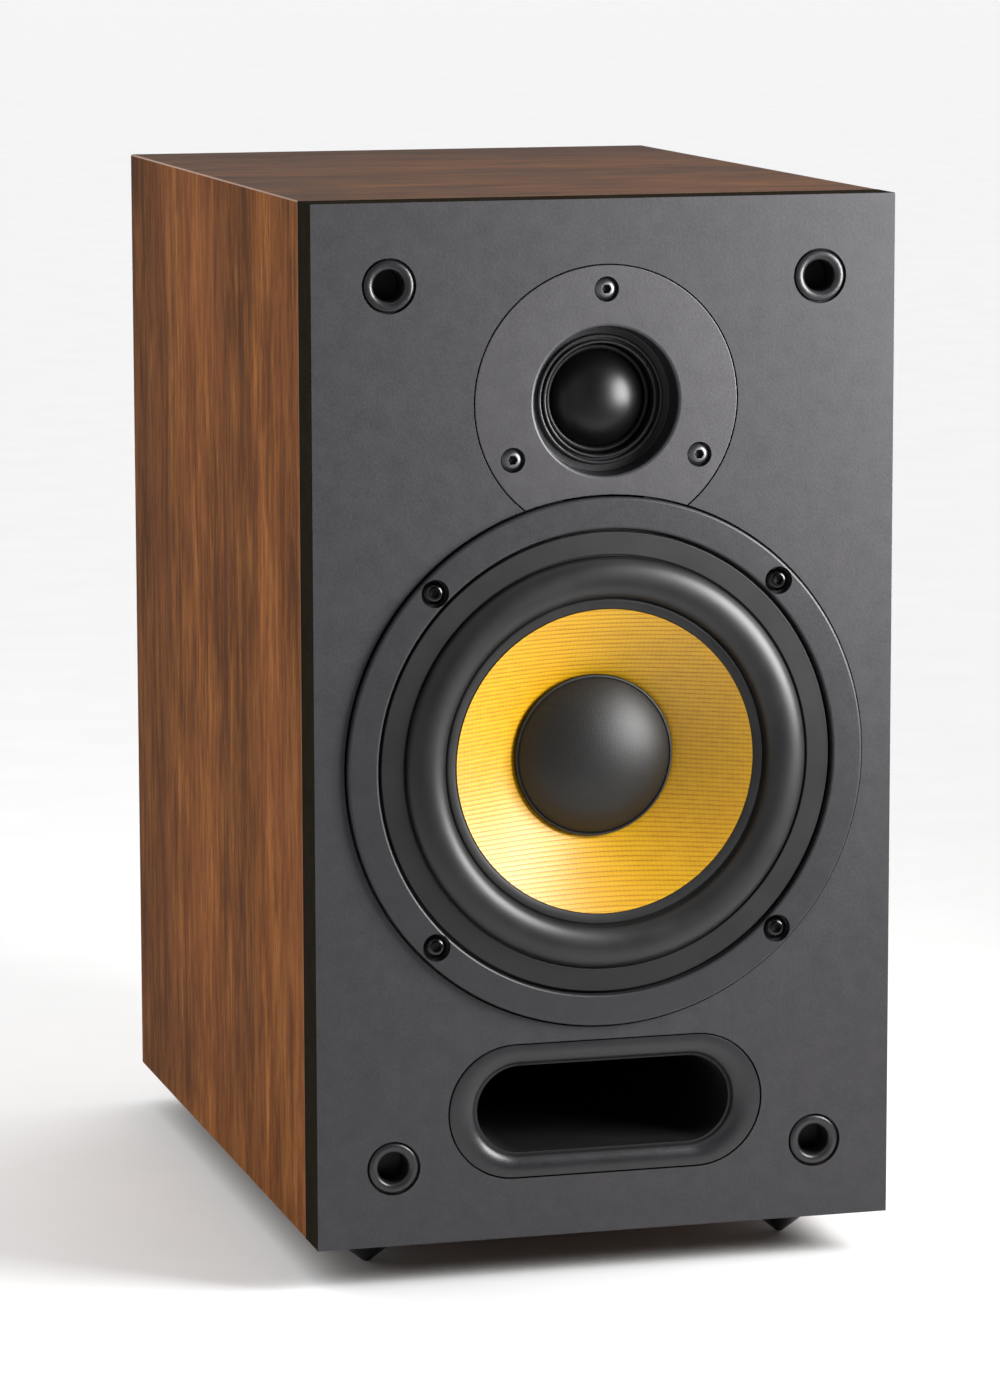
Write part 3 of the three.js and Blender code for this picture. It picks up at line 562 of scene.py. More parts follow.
def moulded(name, colour, roughness, grain_size=4.0, relief=0.02):
    """Injection-moulded plastic with a fine even texture."""
    finish = Finish(name, roughness)
    grain = finish.grain(grain_size, detail=3.0, roughness=0.6)
    cloud = finish.grain(0.08, detail=4.0)
    finish.colour(finish.ramp(cloud, (0.35, colour), (0.75, toned(colour, 1.35))))
    finish.shine(cloud, roughness - 0.05, roughness + 0.08)
    finish.bump(grain, relief, 0.5)
    return finish.material


def rubber():
    """Black rubber with a faint bloom."""
    finish = Finish("surround_rubber", 0.4, Specular_IOR_Level=0.5)
    bloom = finish.grain(0.06, detail=4.0, roughness=0.6)
    grain = finish.grain(5.0, detail=2.0)
    finish.colour(finish.ramp(bloom, (0.35, rgb(18, 18, 19)), (0.7, rgb(28, 28, 29))))
    finish.shine(bloom, 0.36, 0.48)
    finish.bump(grain, 0.015, 0.4)
    return finish.material


def plain_weave(finish, pitch):
    """The height of the yarn on top, warp and weft in turn, and the height of the weft alone."""
    waves = []
    for axis in ("X", "Z"):
        turns = finish.math("MULTIPLY", finish.along(axis), math.pi / (pitch * MM))
        waves.append(finish.math("SINE", turns))
    across, upward = waves
    warp_on_top = finish.math("GREATER_THAN", finish.math("MULTIPLY", across, upward), 0.0)
    warp = finish.math("ABSOLUTE", across)
    weft = finish.math("ABSOLUTE", upward)
    return finish.node("ShaderNodeMix", {0: warp_on_top, 2: weft, 3: warp}, 0), weft


def woven(name, colours, pitch, relief, roughness, **sockets):
    """Plain-woven cloth in three shades, from the gaps to the crowns of the yarns."""
    finish = Finish(name, roughness, **sockets)
    ridge, _ = plain_weave(finish, pitch)
    crown = finish.math("POWER", ridge, 0.55)
    fibres = finish.noise(1.2, 1.2, 6.0, detail=3.0)
    cloud = finish.grain(0.05, detail=3.0)
    shade = finish.total((crown, 0.75), (cloud, 0.35))
    dark, plain, light = colours
    finish.colour(finish.ramp(shade, (0.25, dark), (0.62, plain), (1.0, light)))
    finish.shine(fibres, roughness - 0.08, roughness + 0.10)
    finish.bump(crown, relief, 0.8)
    finish.bump(fibres, relief * 0.2, 0.5)
    return finish.material


def woven_cone():
    """Yellow woven fibre in clear resin, with the weft lines standing out as fine level rows."""
    finish = Finish("woven_cone", 0.42, Coat_Weight=0.15, Coat_Roughness=0.4, Specular_IOR_Level=0.5)
    ridge, weft = plain_weave(finish, 1.35)
    rows = finish.total((finish.math("POWER", weft, 0.5), 0.7), (finish.math("POWER", ridge, 0.5), 0.3))
    uneven = finish.noise(0.02, 0.6, 0.6, detail=3.0)
    cloud = finish.grain(0.04, detail=2.0)
    shade = finish.total((rows, 0.62), (uneven, 0.38))
    gold = finish.ramp(shade, (0.28, rgb(136, 92, 0)), (0.52, rgb(178, 131, 2)), (0.80, rgb(202, 154, 8)))
    warm = finish.ramp(cloud, (0.35, 0.0), (0.7, 0.22))
    finish.colour(finish.mix(warm, gold, rgb(184, 120, 1)))
    finish.shine(uneven, 0.34, 0.5)
    finish.bump(rows, 0.09, 0.8)
    return finish.material


def steel(name, colour, roughness, brush=(0.4, 0.4, 0.4), metallic=1.0):
    """Metal with fine brushing or tumbling marks, longest where the brush number is smallest."""
    finish = Finish(name, roughness, Metallic=metallic)
    marks = finish.noise(*brush, detail=5.0, roughness=0.7)
    stain = finish.grain(0.15, detail=3.0)
    finish.colour(finish.ramp(stain, (0.3, toned(colour, 0.72)), (0.62, colour)))
    finish.shine(marks, max(0.05, roughness - 0.1), roughness + 0.14)
    finish.bump(marks, 0.01, 0.35)
    return finish.material


def speckled(name, light, dark, roughness, size, relief=0.04):
    """A mineral or board surface: ferrite, cement, fibreboard."""
    finish = Finish(name, roughness)
    specks = finish.grain(size, detail=6.0, roughness=0.75)
    finish.colour(finish.ramp(specks, (0.35, dark), (0.65, light)))
    finish.shine(specks, roughness - 0.08, roughness + 0.08)
    finish.bump(specks, relief, 0.6)
    return finish.material


def windings(name, colour, pitch):
    """Enamelled wire wound side by side along Y."""
    finish = Finish(name, 0.28, Metallic=1.0)
    turns = finish.math("MULTIPLY", finish.along("Y"), math.pi / (pitch * MM))
    wire = finish.math("ABSOLUTE", finish.math("SINE", turns))
    finish.colour(finish.ramp(wire, (0.05, toned(colour, 0.3)), (0.5, colour)))
    finish.bump(wire, pitch * 0.4, 0.8)
    finish.shine(finish.grain(0.8, detail=3.0), 0.2, 0.36)
    return finish.material


def open_foam():
    """Grey open-cell foam."""
    finish = Finish("open_cell_foam", 0.95, Sheen_Weight=0.3, Sheen_Roughness=0.6)
    cells = finish.node("ShaderNodeTexVoronoi", {"Vector": finish.space(0.9, 0.9, 0.9), "Scale": 1.0})
    tone = finish.total((cells, 0.6), (finish.grain(0.05, detail=3.0), 0.4))
    finish.colour(finish.ramp(tone, (0.2, rgb(46, 46, 50)), (0.7, rgb(96, 96, 102))))
    finish.bump(cells, 0.5, 0.8)
    return finish.material


def circuit_board():
    """Green solder mask over copper tracks that run in two directions."""
    finish = Finish("circuit_board", 0.35, Coat_Weight=0.3, Coat_Roughness=0.2)
    place = finish.space(0.11, 0.11, 0.11)
    tracks = finish.node("ShaderNodeTexBrick", {
        "Vector": place, "Scale": 1.0, "Mortar Size": 0.07, "Brick Width": 1.7, "Row Height": 0.9,
        "Color1": (0, 0, 0, 1), "Color2": (0, 0, 0, 1), "Mortar": (1, 1, 1, 1),
    })
    mask = finish.grain(0.4, detail=3.0)
    green = finish.ramp(mask, (0.3, rgb(18, 66, 38)), (0.7, rgb(26, 84, 48)))
    finish.colour(finish.mix(tracks, green, rgb(58, 122, 66)))
    finish.bump(tracks, 0.08, 0.6)
    finish.shine(mask, 0.28, 0.44)
    return finish.material


# Brightness along the side panels from front to back: varied veneer tone, and towards the rear painted shade
# for the light falling off there.
SIDE_TONE_AND_FALLOFF_SHADE_BANDS = ((0.0, 1.02), (0.1, 0.96), (0.2, 1.24), (0.31, 0.9), (0.43, 0.9), (0.56, 1.24), (0.7, 1.0))
SIDE_TONE_AND_FALLOFF_SHADE_BANDS += ((0.86, 0.72), (1.0, 0.74))
TOP_BANDS = ((0.0, 0.9), (0.2, 1.1), (0.42, 0.9), (0.6, 1.08), (0.8, 0.82), (1.0, 0.62))
REAR_BANDS = ((0.0, 0.85), (0.2, 1.1), (0.45, 0.9), (0.7, 1.15), (1.0, 0.85))
WALNUT_UPRIGHT = walnut("walnut_upright", "Z", "Y", 1.06, SIDE_TONE_AND_FALLOFF_SHADE_BANDS)
# The level panels take the same walnut at half tone: a shaded copy, painted shade for the dim light on the
# top and bottom.
WALNUT_LEVEL_PAINTED_SHADE = walnut("walnut_level_painted_shade", "X", "Y", 0.5, TOP_BANDS)
WALNUT_REAR = walnut("walnut_rear", "Z", "X", 1.0, REAR_BANDS)
# A lighter walnut for the panels' rounded edges: a painted highlight along the edges.
WALNUT_EDGE_HIGHLIGHT = moulded("walnut_edge_highlight", rgb(138, 94, 58), 0.5, 1.5, 0.02)
BAFFLE_VINYL = vinyl("baffle_vinyl", rgb(53, 51, 55), rgb(39, 38, 41), 0.52, 0.45)
BAFFLE_EDGE = vinyl("baffle_edge", rgb(42, 37, 30), rgb(30, 27, 22), 0.7, 0.0)
FACEPLATE_GREY = vinyl("faceplate_grey", rgb(59, 57, 61), rgb(51, 49, 53), 0.45, 0.6)
TRIM_GREY = vinyl("trim_grey", rgb(43, 42, 45), rgb(36, 35, 38), 0.42, 0.5)
# Dark grey for the port's lip and the grille sockets' rims, and painted shade on the walls of the tweeter's
# recess.
LIP_GREY_AND_RECESS_SHADE = vinyl("lip_grey_and_recess_shade", rgb(34, 33, 36), rgb(28, 27, 29), 0.32, 0.5)
GASKET_BLACK = moulded("gasket_black", rgb(15, 15, 16), 0.45)
# Black plastic for the terminal cup, and painted shade in the bottom of the tweeter's recess.
BLACK_PLASTIC_AND_RECESS_SHADE = moulded("black_plastic", rgb(16, 16, 17), 0.42)
# Near-black for the port duct, and painted shade inside the screws' hexagon sockets and the grille sockets'
# holes.
PORT_BLACK_AND_HOLLOW_SHADE = moulded("port_black_and_hollow_shade", rgb(7, 7, 7), 0.55)
RUBBER = rubber()
CONE_CLOTH = woven_cone()
CAP_SHADES = (rgb(3, 3, 2), rgb(7, 7, 6), rgb(13, 13, 12))
CAP_CLOTH = woven("cap_cloth", CAP_SHADES, 0.55, 0.05, 0.46)
DOME_SHADES = (rgb(3, 3, 3), rgb(6, 6, 6), rgb(11, 11, 11))
DOME_SILK = woven("dome_silk", DOME_SHADES, 0.35, 0.008, 0.36, Specular_IOR_Level=0.35)
SPIDER_SHADES = (rgb(120, 82, 30), rgb(176, 128, 58), rgb(205, 160, 88))
SPIDER_CLOTH = woven("spider_cloth", SPIDER_SHADES, 0.8, 0.15, 0.85)
CAST_FRAME = steel("cast_frame", rgb(36, 36, 38), 0.5, (2.0, 2.0, 2.0), metallic=0.3)
PLATED_STEEL = steel("plated_steel", rgb(196, 194, 188), 0.3, (0.2, 3.0, 0.2))
BLACK_STEEL = steel("black_steel", rgb(44, 44, 47), 0.3, (3.0, 3.0, 3.0), metallic=0.85)
DARK_SCREW = steel("dark_screw", rgb(62, 61, 62), 0.16, (3.0, 3.0, 3.0))
SATIN_SCREW = steel("satin_screw", rgb(120, 119, 122), 0.42, (3.0, 3.0, 3.0))
GOLD_PLATE = steel("gold_plate", rgb(226, 178, 92), 0.16, (1.0, 4.0, 1.0))
FERRITE = speckled("ferrite", rgb(64, 64, 68), rgb(40, 40, 43), 0.7, 1.5)
CEMENT = speckled("cement", rgb(214, 210, 200), rgb(176, 171, 160), 0.85, 1.8)
FIBREBOARD = speckled("fibreboard", rgb(176, 146, 104), rgb(138, 108, 70), 0.9, 1.2, 0.1)
COPPER_WIRE = windings("copper_wire", rgb(196, 112, 62), 0.4)
COIL_WIRE = windings("coil_wire", rgb(204, 120, 66), 1.0)
FOAM = open_foam()
RED_PLASTIC = moulded("red_plastic", rgb(168, 22, 24), 0.3, 2.0, 0.01)
KNOB_BLACK = moulded("knob_black", rgb(22, 22, 23), 0.3, 2.0, 0.01)
BOARD_GREEN = circuit_board()
FILM_WRAP = moulded("film_wrap", rgb(200, 160, 66), 0.28, 0.6, 0.02)
LEAD_SHEATH = moulded("lead_sheath", rgb(26, 26, 28), 0.45, 1.5, 0.02)

# ---- Cabinet -----------------------------------------------------------------------------------

WOOFER_REBATE = 4
TWEETER_REBATE = 4
PORT_REBATE = 3
GAP = 0.35
TRIM_GAP = 0.65
SOCKET_GAP = 0.4
DUCT_WALL = 2.5
CUP_OPENING = (35, 22, 4)
CUP_PLATE = (50, 36, 6)
CUP_FLOOR = -18
CUP_WALL = 2.5
STUD_HOLE = 3.3
TRIM_RADIUS = half_size("woofer_trim_ring").x
TRIM_RISE = FRONT - corners("woofer_trim_ring")[0].y
FACEPLATE_RADIUS = half_size("tweeter_faceplate").x
PORT_HALF = half_size("port_flange")
DUCT_HALF = half_size("port_duct")
SOCKETS = [name for name in BODY if name.startswith("grille_socket")]
SOCKET_RADIUS = half_size(SOCKETS[0]).x
SPIKES = [name for name in BODY if name.startswith("spike_")]
WOOFER_SCREWS = around(WOOFER, 74.6, 4, 45)
TWEETER_SCREWS = around(TWEETER, 33, 3, 90)


def cup_section(margin):
    """The opening of the terminal cup, seen from behind."""
    return round_box(*CUP_OPENING, margin)


def counterbore(centre, wide, seat, narrow, depth, segments):
    """A stepped round cutter: wide down to the seat, then narrow."""
    outline = [(0, -BEYOND), (wide, -BEYOND), (wide, seat), (narrow, seat), (narrow, depth), (0, depth)]
    return revolve("cut", outline, centre, segments)


def make_baffle():
    board = box("baffle", BAFFLE_LOW, BAFFLE_HIGH)
    through = BAFFLE_DEPTH + BEYOND
    bore = DUCT_HALF.z + 0.5 - PORT_HALF.z

    def port_section(margin):
        return stadium(PORT_HALF.x, PORT_HALF.z, margin)

    port_steps = [(GAP, -BEYOND), (GAP, PORT_REBATE), (bore, PORT_REBATE), (bore, through)]
    cutters = [
        counterbore(WOOFER, TRIM_RADIUS + TRIM_GAP, WOOFER_REBATE, 65, through, FINE),
        counterbore(TWEETER, FACEPLATE_RADIUS + GAP, TWEETER_REBATE, 31.75, through + 1, FINE),
        loft("cut", port_section, port_steps, PORT, True),
    ]
    for node in SOCKETS:
        cutters.append(counterbore(on_front(node), SOCKET_RADIUS + SOCKET_GAP, 1.5, 6.8, 13, SMALL))
    carve(board, *cutters)
    soften(board, 0.5, 3)
    stand_for(board, "front_baffle", BAFFLE_VINYL, BAFFLE_EDGE)
    for face in board.data.polygons:
        face.material_index = 0 if face.normal.y < -0.9 else 1


def make_walls():
    """Four panels that meet in mitres behind the baffle."""
    low, high = CABINET_LOW, CABINET_HIGH
    front, back = BAFFLE_HIGH.y, high.y
    left, right = low.x + PANEL, high.x - PANEL
    floor, ceiling = low.z + PANEL, high.z - PANEL
    for node, outer, inner in (("left_side_panel", low.x, left), ("right_side_panel", high.x, right)):
        outline = [(outer, low.z), (outer, high.z), (inner, ceiling), (inner, floor)]
        # The roundings take the lighter edge finish, a painted highlight.
        panel = soften(prism(node, outline, front, back), 0.4, material=1)
        stand_for(panel, node, WALNUT_UPRIGHT, WALNUT_EDGE_HIGHLIGHT)
    for node, outer, inner in (("top_panel", high.z, ceiling), ("bottom_panel", low.z, floor)):
        outline = [(low.x, outer), (high.x, outer), (right, inner), (left, inner)]
        panel = prism(node, outline, front, back)
        if node == "bottom_panel":
            drill_for_spikes(panel)
        # The roundings take the lighter edge finish, a painted highlight.
        stand_for(soften(panel, 0.4, material=1), node, WALNUT_LEVEL_PAINTED_SHADE, WALNUT_EDGE_HIGHLIGHT)


def drill_for_spikes(panel):
    hole = [(0, -BEYOND), (3.3, -BEYOND), (3.3, PANEL + BEYOND), (0, PANEL + BEYOND)]
    for spike in SPIKES:
        centre = middle(spike)
        carve(panel, revolve("cut", hole, Vector((centre.x, centre.y, CABINET_LOW.z)), SMALL, True))


def make_rear_panel():
    panel = box("rear", *corners("rear_panel"))
    margin = CUP_WALL + 0.3
    opening = loft("cut", cup_section, [(margin, -PANEL - BEYOND), (margin, BEYOND)], TERMINALS, True)
    carve(panel, opening)
    stand_for(soften(panel, 0.4), "rear_panel", WALNUT_REAR)


def make_brace():
    stand_for(soften(box("brace", *corners("cross_brace")), 0.6), "cross_brace", FIBREBOARD)


def make_foam():
    """A foam slab under the top panel with a moulded egg-box face downwards."""
    low, high = corners("acoustic_foam")
    columns, rows, pitch, depth = 84, 108, 25, 10
    vertices, faces = [], []
    for i in range(columns + 1):
        for j in range(rows + 1):
            x = low.x + (high.x - low.x) * i / columns
            y = low.y + (high.y - low.y) * j / rows
            wave = math.sin(2 * math.pi * x / pitch) * math.sin(2 * math.pi * y / pitch)
            vertices.append((x, y, low.z + depth * (0.5 - 0.5 * wave)))

    def at(i, j):
        return i * (rows + 1) + j

    for i in range(columns):
        for j in range(rows):
            faces.append((at(i, j), at(i, j + 1), at(i + 1, j + 1), at(i + 1, j)))
    rim = [at(i, 0) for i in range(columns + 1)]
    rim += [at(columns, j) for j in range(1, rows + 1)]
    rim += [at(i, rows) for i in range(columns - 1, -1, -1)]
    rim += [at(0, j) for j in range(rows - 1, 0, -1)]
    top = []
    for index in rim:
        x, y, _ = vertices[index]
        top.append(len(vertices))
        vertices.append((x, y, high.z))
    for k in range(len(rim)):
        after = (k + 1) % len(rim)
        faces.append((rim[k], rim[after], top[after], top[k]))
    faces.append(tuple(top))
    foam = stand_for(mesh_object("foam", vertices, faces), "acoustic_foam", FOAM, angle=60)


# ---- Feet, screws and sockets ------------------------------------------------------------------


def make_spikes():
    """Cone, grooved waist, shoulder and stud, from the tip up."""
    shoulder = CABINET_LOW.z - 0.3
    for node in SPIKES:
        centre = middle(node)
        radius = half_size(node).x
        top = corners(node)[1].z
        cone = [(0, 0), (1, 0, 0.3), (radius, 8, 0.6)]
        waist = [(radius, 9.6, 0.2), (radius - 0.7, 10.1, 0.2), (radius, 10.6, 0.2)]
        stud = [(radius, shoulder, 0.7), (3, shoulder), (3, top - 1), (2.2, top), (0, top)]
        foot = Vector((centre.x, centre.y, 0))
        turned(node, cone + waist + stud, foot, BLACK_STEEL, closed=False, upright=True)


def make_screw(node, place, head, shank, length, material, facing=1):
    """A button-head screw with a hexagon socket. place is the top of the head, facing +1 points into +Y."""
    radius, height = head
    crown = [(0, 0), (radius * 0.6, 0, 1.2), (radius, height * 0.6, 0.5), (radius, height)]
    thread = [(shank, height), (shank, length - shank), (0, length)]
    outline = fillet(crown + thread, closed=False)
    screw = revolve("screw", [(r, facing * d) for r, d in outline], place, SMALL)
    reach = radius * 0.45
    socket = [(0, -1), (reach, -1), (reach, height * 0.75), (0, height * 0.75)]
    carve(screw, revolve("cut", [(r, facing * d) for r, d in socket], place, 6))
    stand_for(screw, node, material, PORT_BLACK_AND_HOLLOW_SHADE)
    # Faces inside the hexagon socket take near-black: painted shade in the socket.
    for face in screw.data.polygons:
        offset = face.center / MM - place
        depth = facing * offset.y
        hollow = math.hypot(offset.x, offset.z) < reach + 0.01 and 0.15 < depth < height * 0.8
        face.material_index = 1 if hollow else 0


def make_screws():
    drivers = (
        ("woofer", WOOFER_SCREWS, 2.0, 15, DARK_SCREW),
        ("tweeter", TWEETER_SCREWS, 1.75, 14, SATIN_SCREW),
    )
    for driver, places, shank, length, material in drivers:
        for k, place in enumerate(places):
            node = f"{driver}_screw_{k + 1}"
            top = Vector((place.x, corners(node)[0].y, place.z))
            make_screw(node, top, (3.3, 2.0), shank, length, material)
    for k in range(4):
        node = f"terminal_screw_{k + 1}"
        centre = middle(node)
        top = Vector((centre.x, corners(node)[1].y, centre.z))
        make_screw(node, top, (3.0, 1.75), 1.6, 14, DARK_SCREW, facing=-1)


def make_sockets():
    """Blind cups for the grille's pegs, each with a rolled rim."""
    hole, body, rim = 4.6, 6.5, SOCKET_RADIUS
    inside = [(0, 10), (hole, 10), (hole, 0, 1.5)]
    outside = [(rim, 0, 1.2), (rim, 1.5), (body, 1.5), (body, 12), (0, 12)]
    for node in SOCKETS:
        socket = turned(node, inside + outside, on_front(node), LIP_GREY_AND_RECESS_SHADE, PORT_BLACK_AND_HOLLOW_SHADE, closed=False)
        # Faces deep in the hole take near-black: painted shade inside the socket.
        for face in socket.data.polygons:
            out = face.center / MM - on_front(node)
            deep = out.y > 1.0 and math.hypot(out.x, out.z) < 5
            face.material_index = 1 if deep else 0


# ---- Woofer ------------------------------------------------------------------------------------

CONE_RADIUS = 45.75
ROLL_START = 49.5
ROLL_END = 61.75
FLANGE_FACE = 0.25
COIL_RADIUS = 16
NECK_RADIUS = COIL_RADIUS + 0.5


def make_trim_ring():
    inner, outer = 70.1, TRIM_RADIUS
    outline = fillet([(inner, -TRIM_RISE, 0.8), (outer, -TRIM_RISE, 0.8), (outer, 0.2), (inner, 0.2)])
    trim = revolve("trim", outline, WOOFER, FINE)
    carve(trim, *(disc("cut", 4.2, -BEYOND, 3, place) for place in WOOFER_SCREWS))
    stand_for(trim, "woofer_trim_ring", TRIM_GREY)


def make_gasket():
    outline = [(62.2, -0.75, 0.35), (69.1, -0.75, 0.35), (69.1, 0.2), (62.2, 0.2)]
    turned("woofer_gasket", outline, WOOFER, GASKET_BLACK, segments=FINE)


def half_roll(start, end, base, rise, steps=28):
    """Points over a half roll from one radius to another, bulging towards the front."""
    centre, half = (start + end) / 2, (end - start) / 2
    points = []
    for k in range(steps + 1):
        angle = math.pi * (1 - k / steps)
        points.append((centre + half * math.cos(angle), base - rise * math.sin(angle)))
    return points


def make_surround():
    """A half roll between a landing glued over the cone's edge and a flange glued to the basket."""
    rise = FRONT - corners("woofer_surround")[0].y + FLANGE_FACE
    thickness, landing, seat = 1.0, 1.0, 1.25
    inner, outer = 46.0, 67.75
    front = [(inner, landing), (ROLL_START - 1.2, FLANGE_FACE), (ROLL_START - 0.7, FLANGE_FACE + 0.1)]
    front += [(ROLL_START - 0.4, 0.7)]
    front += half_roll(ROLL_START, ROLL_END, FLANGE_FACE, rise)
    front += [(outer - 0.25, FLANGE_FACE), (outer, 0.5), (outer, seat)]
    back = half_roll(ROLL_START + thickness, ROLL_END - thickness, seat, rise)[::-1]
    outline = front + back + [(inner, landing + 0.25)]
    ring = revolve("surround", outline, WOOFER, FINE)
    flex_between(ring, "woofer_surround", RUBBER)


def make_cone():
    steps, thickness = 20, 0.7
    edge_depth, neck_depth = 0.75, 20
    face = []
    for k in range(steps + 1):
        share = k / steps
        radius = CONE_RADIUS + (NECK_RADIUS - CONE_RADIUS) * share
        face.append((radius, edge_depth + (neck_depth - edge_depth) * share ** 1.04))
    back = [(r, d + thickness) for r, d in reversed(face)]
    cone = revolve("cone", face + back, WOOFER, FINE)
    stand_for(cone, "woofer_cone", CONE_CLOTH)


def cap_outline(radius, base, rise, thickness, steps=24):
    """A thin spherical cap, apex to the front, as an outline from the axis out and back."""
    sphere = (radius ** 2 + rise ** 2) / (2 * rise)

    def arc(shrink, end):
        points = []
        for k in range(steps + 1):
            r = end * k / steps
            points.append((r, base - math.sqrt((sphere - shrink) ** 2 - r * r) + sphere - rise))
        return points

    return arc(0, radius), arc(thickness, radius - thickness)[::-1]


def make_dust_cap():
    low, high = corners("woofer_dust_cap")
    radius = half_size("woofer_dust_cap").x
    apex, base, back = low.y - FRONT, 13.5, high.y - FRONT
    lip = 0.9
    outside, inside = cap_outline(radius - lip, base - 0.35, base - 0.35 - apex, 0.6)
    bead = [(radius - 0.75, base - 0.75), (radius - 0.2, base - 0.65), (radius, base - 0.2)]
    glued = [(radius, back), (radius - lip - 0.6, back)]
    cap = revolve("cap", outside + bead + glued + inside, WOOFER, ROUND)
    stand_for(cap, "woofer_dust_cap", CAP_CLOTH)


def make_coils():
    """Formers with their windings: a thicker stretch of the woofer's, and the whole of the tweeter's."""
    inner, outer, wound = COIL_RADIUS - 0.25, COIL_RADIUS + 0.25, COIL_RADIUS + 1
    former = [(inner, 19.5), (outer, 19.5), (outer, 37.5)]
    winding = [(wound, 37.7), (wound, 49.3), (COIL_RADIUS + 0.3, 49.5), (inner, 49.5)]
    turned("woofer_voice_coil", former + winding, WOOFER, COPPER_WIRE)
    sleeve = [(12.9, 11.25), (13.5, 11.25), (13.5, 17.5, 0.15), (12.9, 17.5)]
    turned("tweeter_voice_coil", sleeve, TWEETER, COPPER_WIRE)


def make_spider():
    """The corrugated centring disc behind the cone."""
    wave_end, outer, seat, thickness = 38.0, 41.5, 28.0, 0.6
    waves, steps = 5, 60
    crest = []
    for k in range(steps + 1):
        share = k / steps
        ripple = 0.75 * (1 - math.cos(2 * math.pi * waves * share))
        crest.append((NECK_RADIUS + (wave_end - NECK_RADIUS) * share, seat - thickness - ripple))
    flange = [(outer, seat - thickness), (outer, seat)]
    back = [(r, d + thickness) for r, d in reversed(crest)]
    spider = revolve("spider", crest + flange + back, WOOFER, ROUND)
    flex_between(spider, "woofer_spider", SPIDER_CLOTH)


def make_basket():
    """A cast frame: a stepped rim, a tapered wall with six windows and a seat for the top plate."""
    rim = [(60.5, 1.25), (68, 1.25), (68, 0.25), (69.2, 0.25), (69.2, 2), (70, 2), (70, 0.25)]
    rim += [(79, 0.25, 0.3), (79, WOOFER_REBATE, 0.3), (63.5, WOOFER_REBATE, 1.0)]
    wall = [(44.5, 30, 3.0), (44.5, 41, 0.5)]
    seat = [(28, 41), (28, 38), (36.5, 38), (36.5, 28), (42, 28, 0.6), (60.5, 3, 0.6)]
    basket = revolve("basket", fillet(rim + wall + seat), WOOFER, ROUND)
    windows = 6
    for k in range(windows):
        window = box("cut", (-13, 8, 40), (13, 26, 70))
        window.rotation_euler = Euler((0, 2 * math.pi * k / windows, 0))
        window.location = WOOFER * MM
        carve(basket, window)
    carve(basket, *(disc("cut", 2.3, -1, 6, place) for place in WOOFER_SCREWS))
    stand_for(basket, "woofer_basket", CAST_FRAME)


def flat_ring(inner, outer, front, back, inner_round, outer_round):
    """The outline of a flat ring with rounded edges."""
    near = [(inner, front, inner_round), (outer, front, outer_round)]
    return near + [(outer, back, outer_round), (inner, back, inner_round)]


def make_motors():
    """Plates, magnets and yokes behind both drivers."""
    turned("woofer_top_plate", flat_ring(17.75, 38, 41, 46, 0.3, 0.5), WOOFER, PLATED_STEEL)
    turned("woofer_magnet", flat_ring(22, 45, 46, 62, 1, 1), WOOFER, FERRITE)
    pole = [(4, 40, 0.6), (15.25, 40, 0.6), (15.25, 62)]
    plate = [(38, 62, 0.5), (38, 67, 1.5), (4, 67, 1)]
    turned("woofer_back_plate", pole + plate, WOOFER, PLATED_STEEL)
    step = [(14.25, 12.5), (20.5, 12.5), (20.5, 11), (29, 11)]
    plate = step + [(29, 15.5, 0.5), (14.25, 15.5, 0.2)]
    turned("tweeter_top_plate", plate, TWEETER, PLATED_STEEL)
    turned("tweeter_magnet", flat_ring(18, 31, 15.5, 25.5, 0.6, 0.8), TWEETER, FERRITE)
    pole = [(0, 12.5), (12.4, 12.5, 0.3), (12.4, 25.5)]
    plate = [(29, 25.5, 0.4), (29, 29.5, 1), (0, 29.5)]
    turned("tweeter_back_plate", pole + plate, TWEETER, PLATED_STEEL, closed=False)


# ---- Tweeter -----------------------------------------------------------------------------------


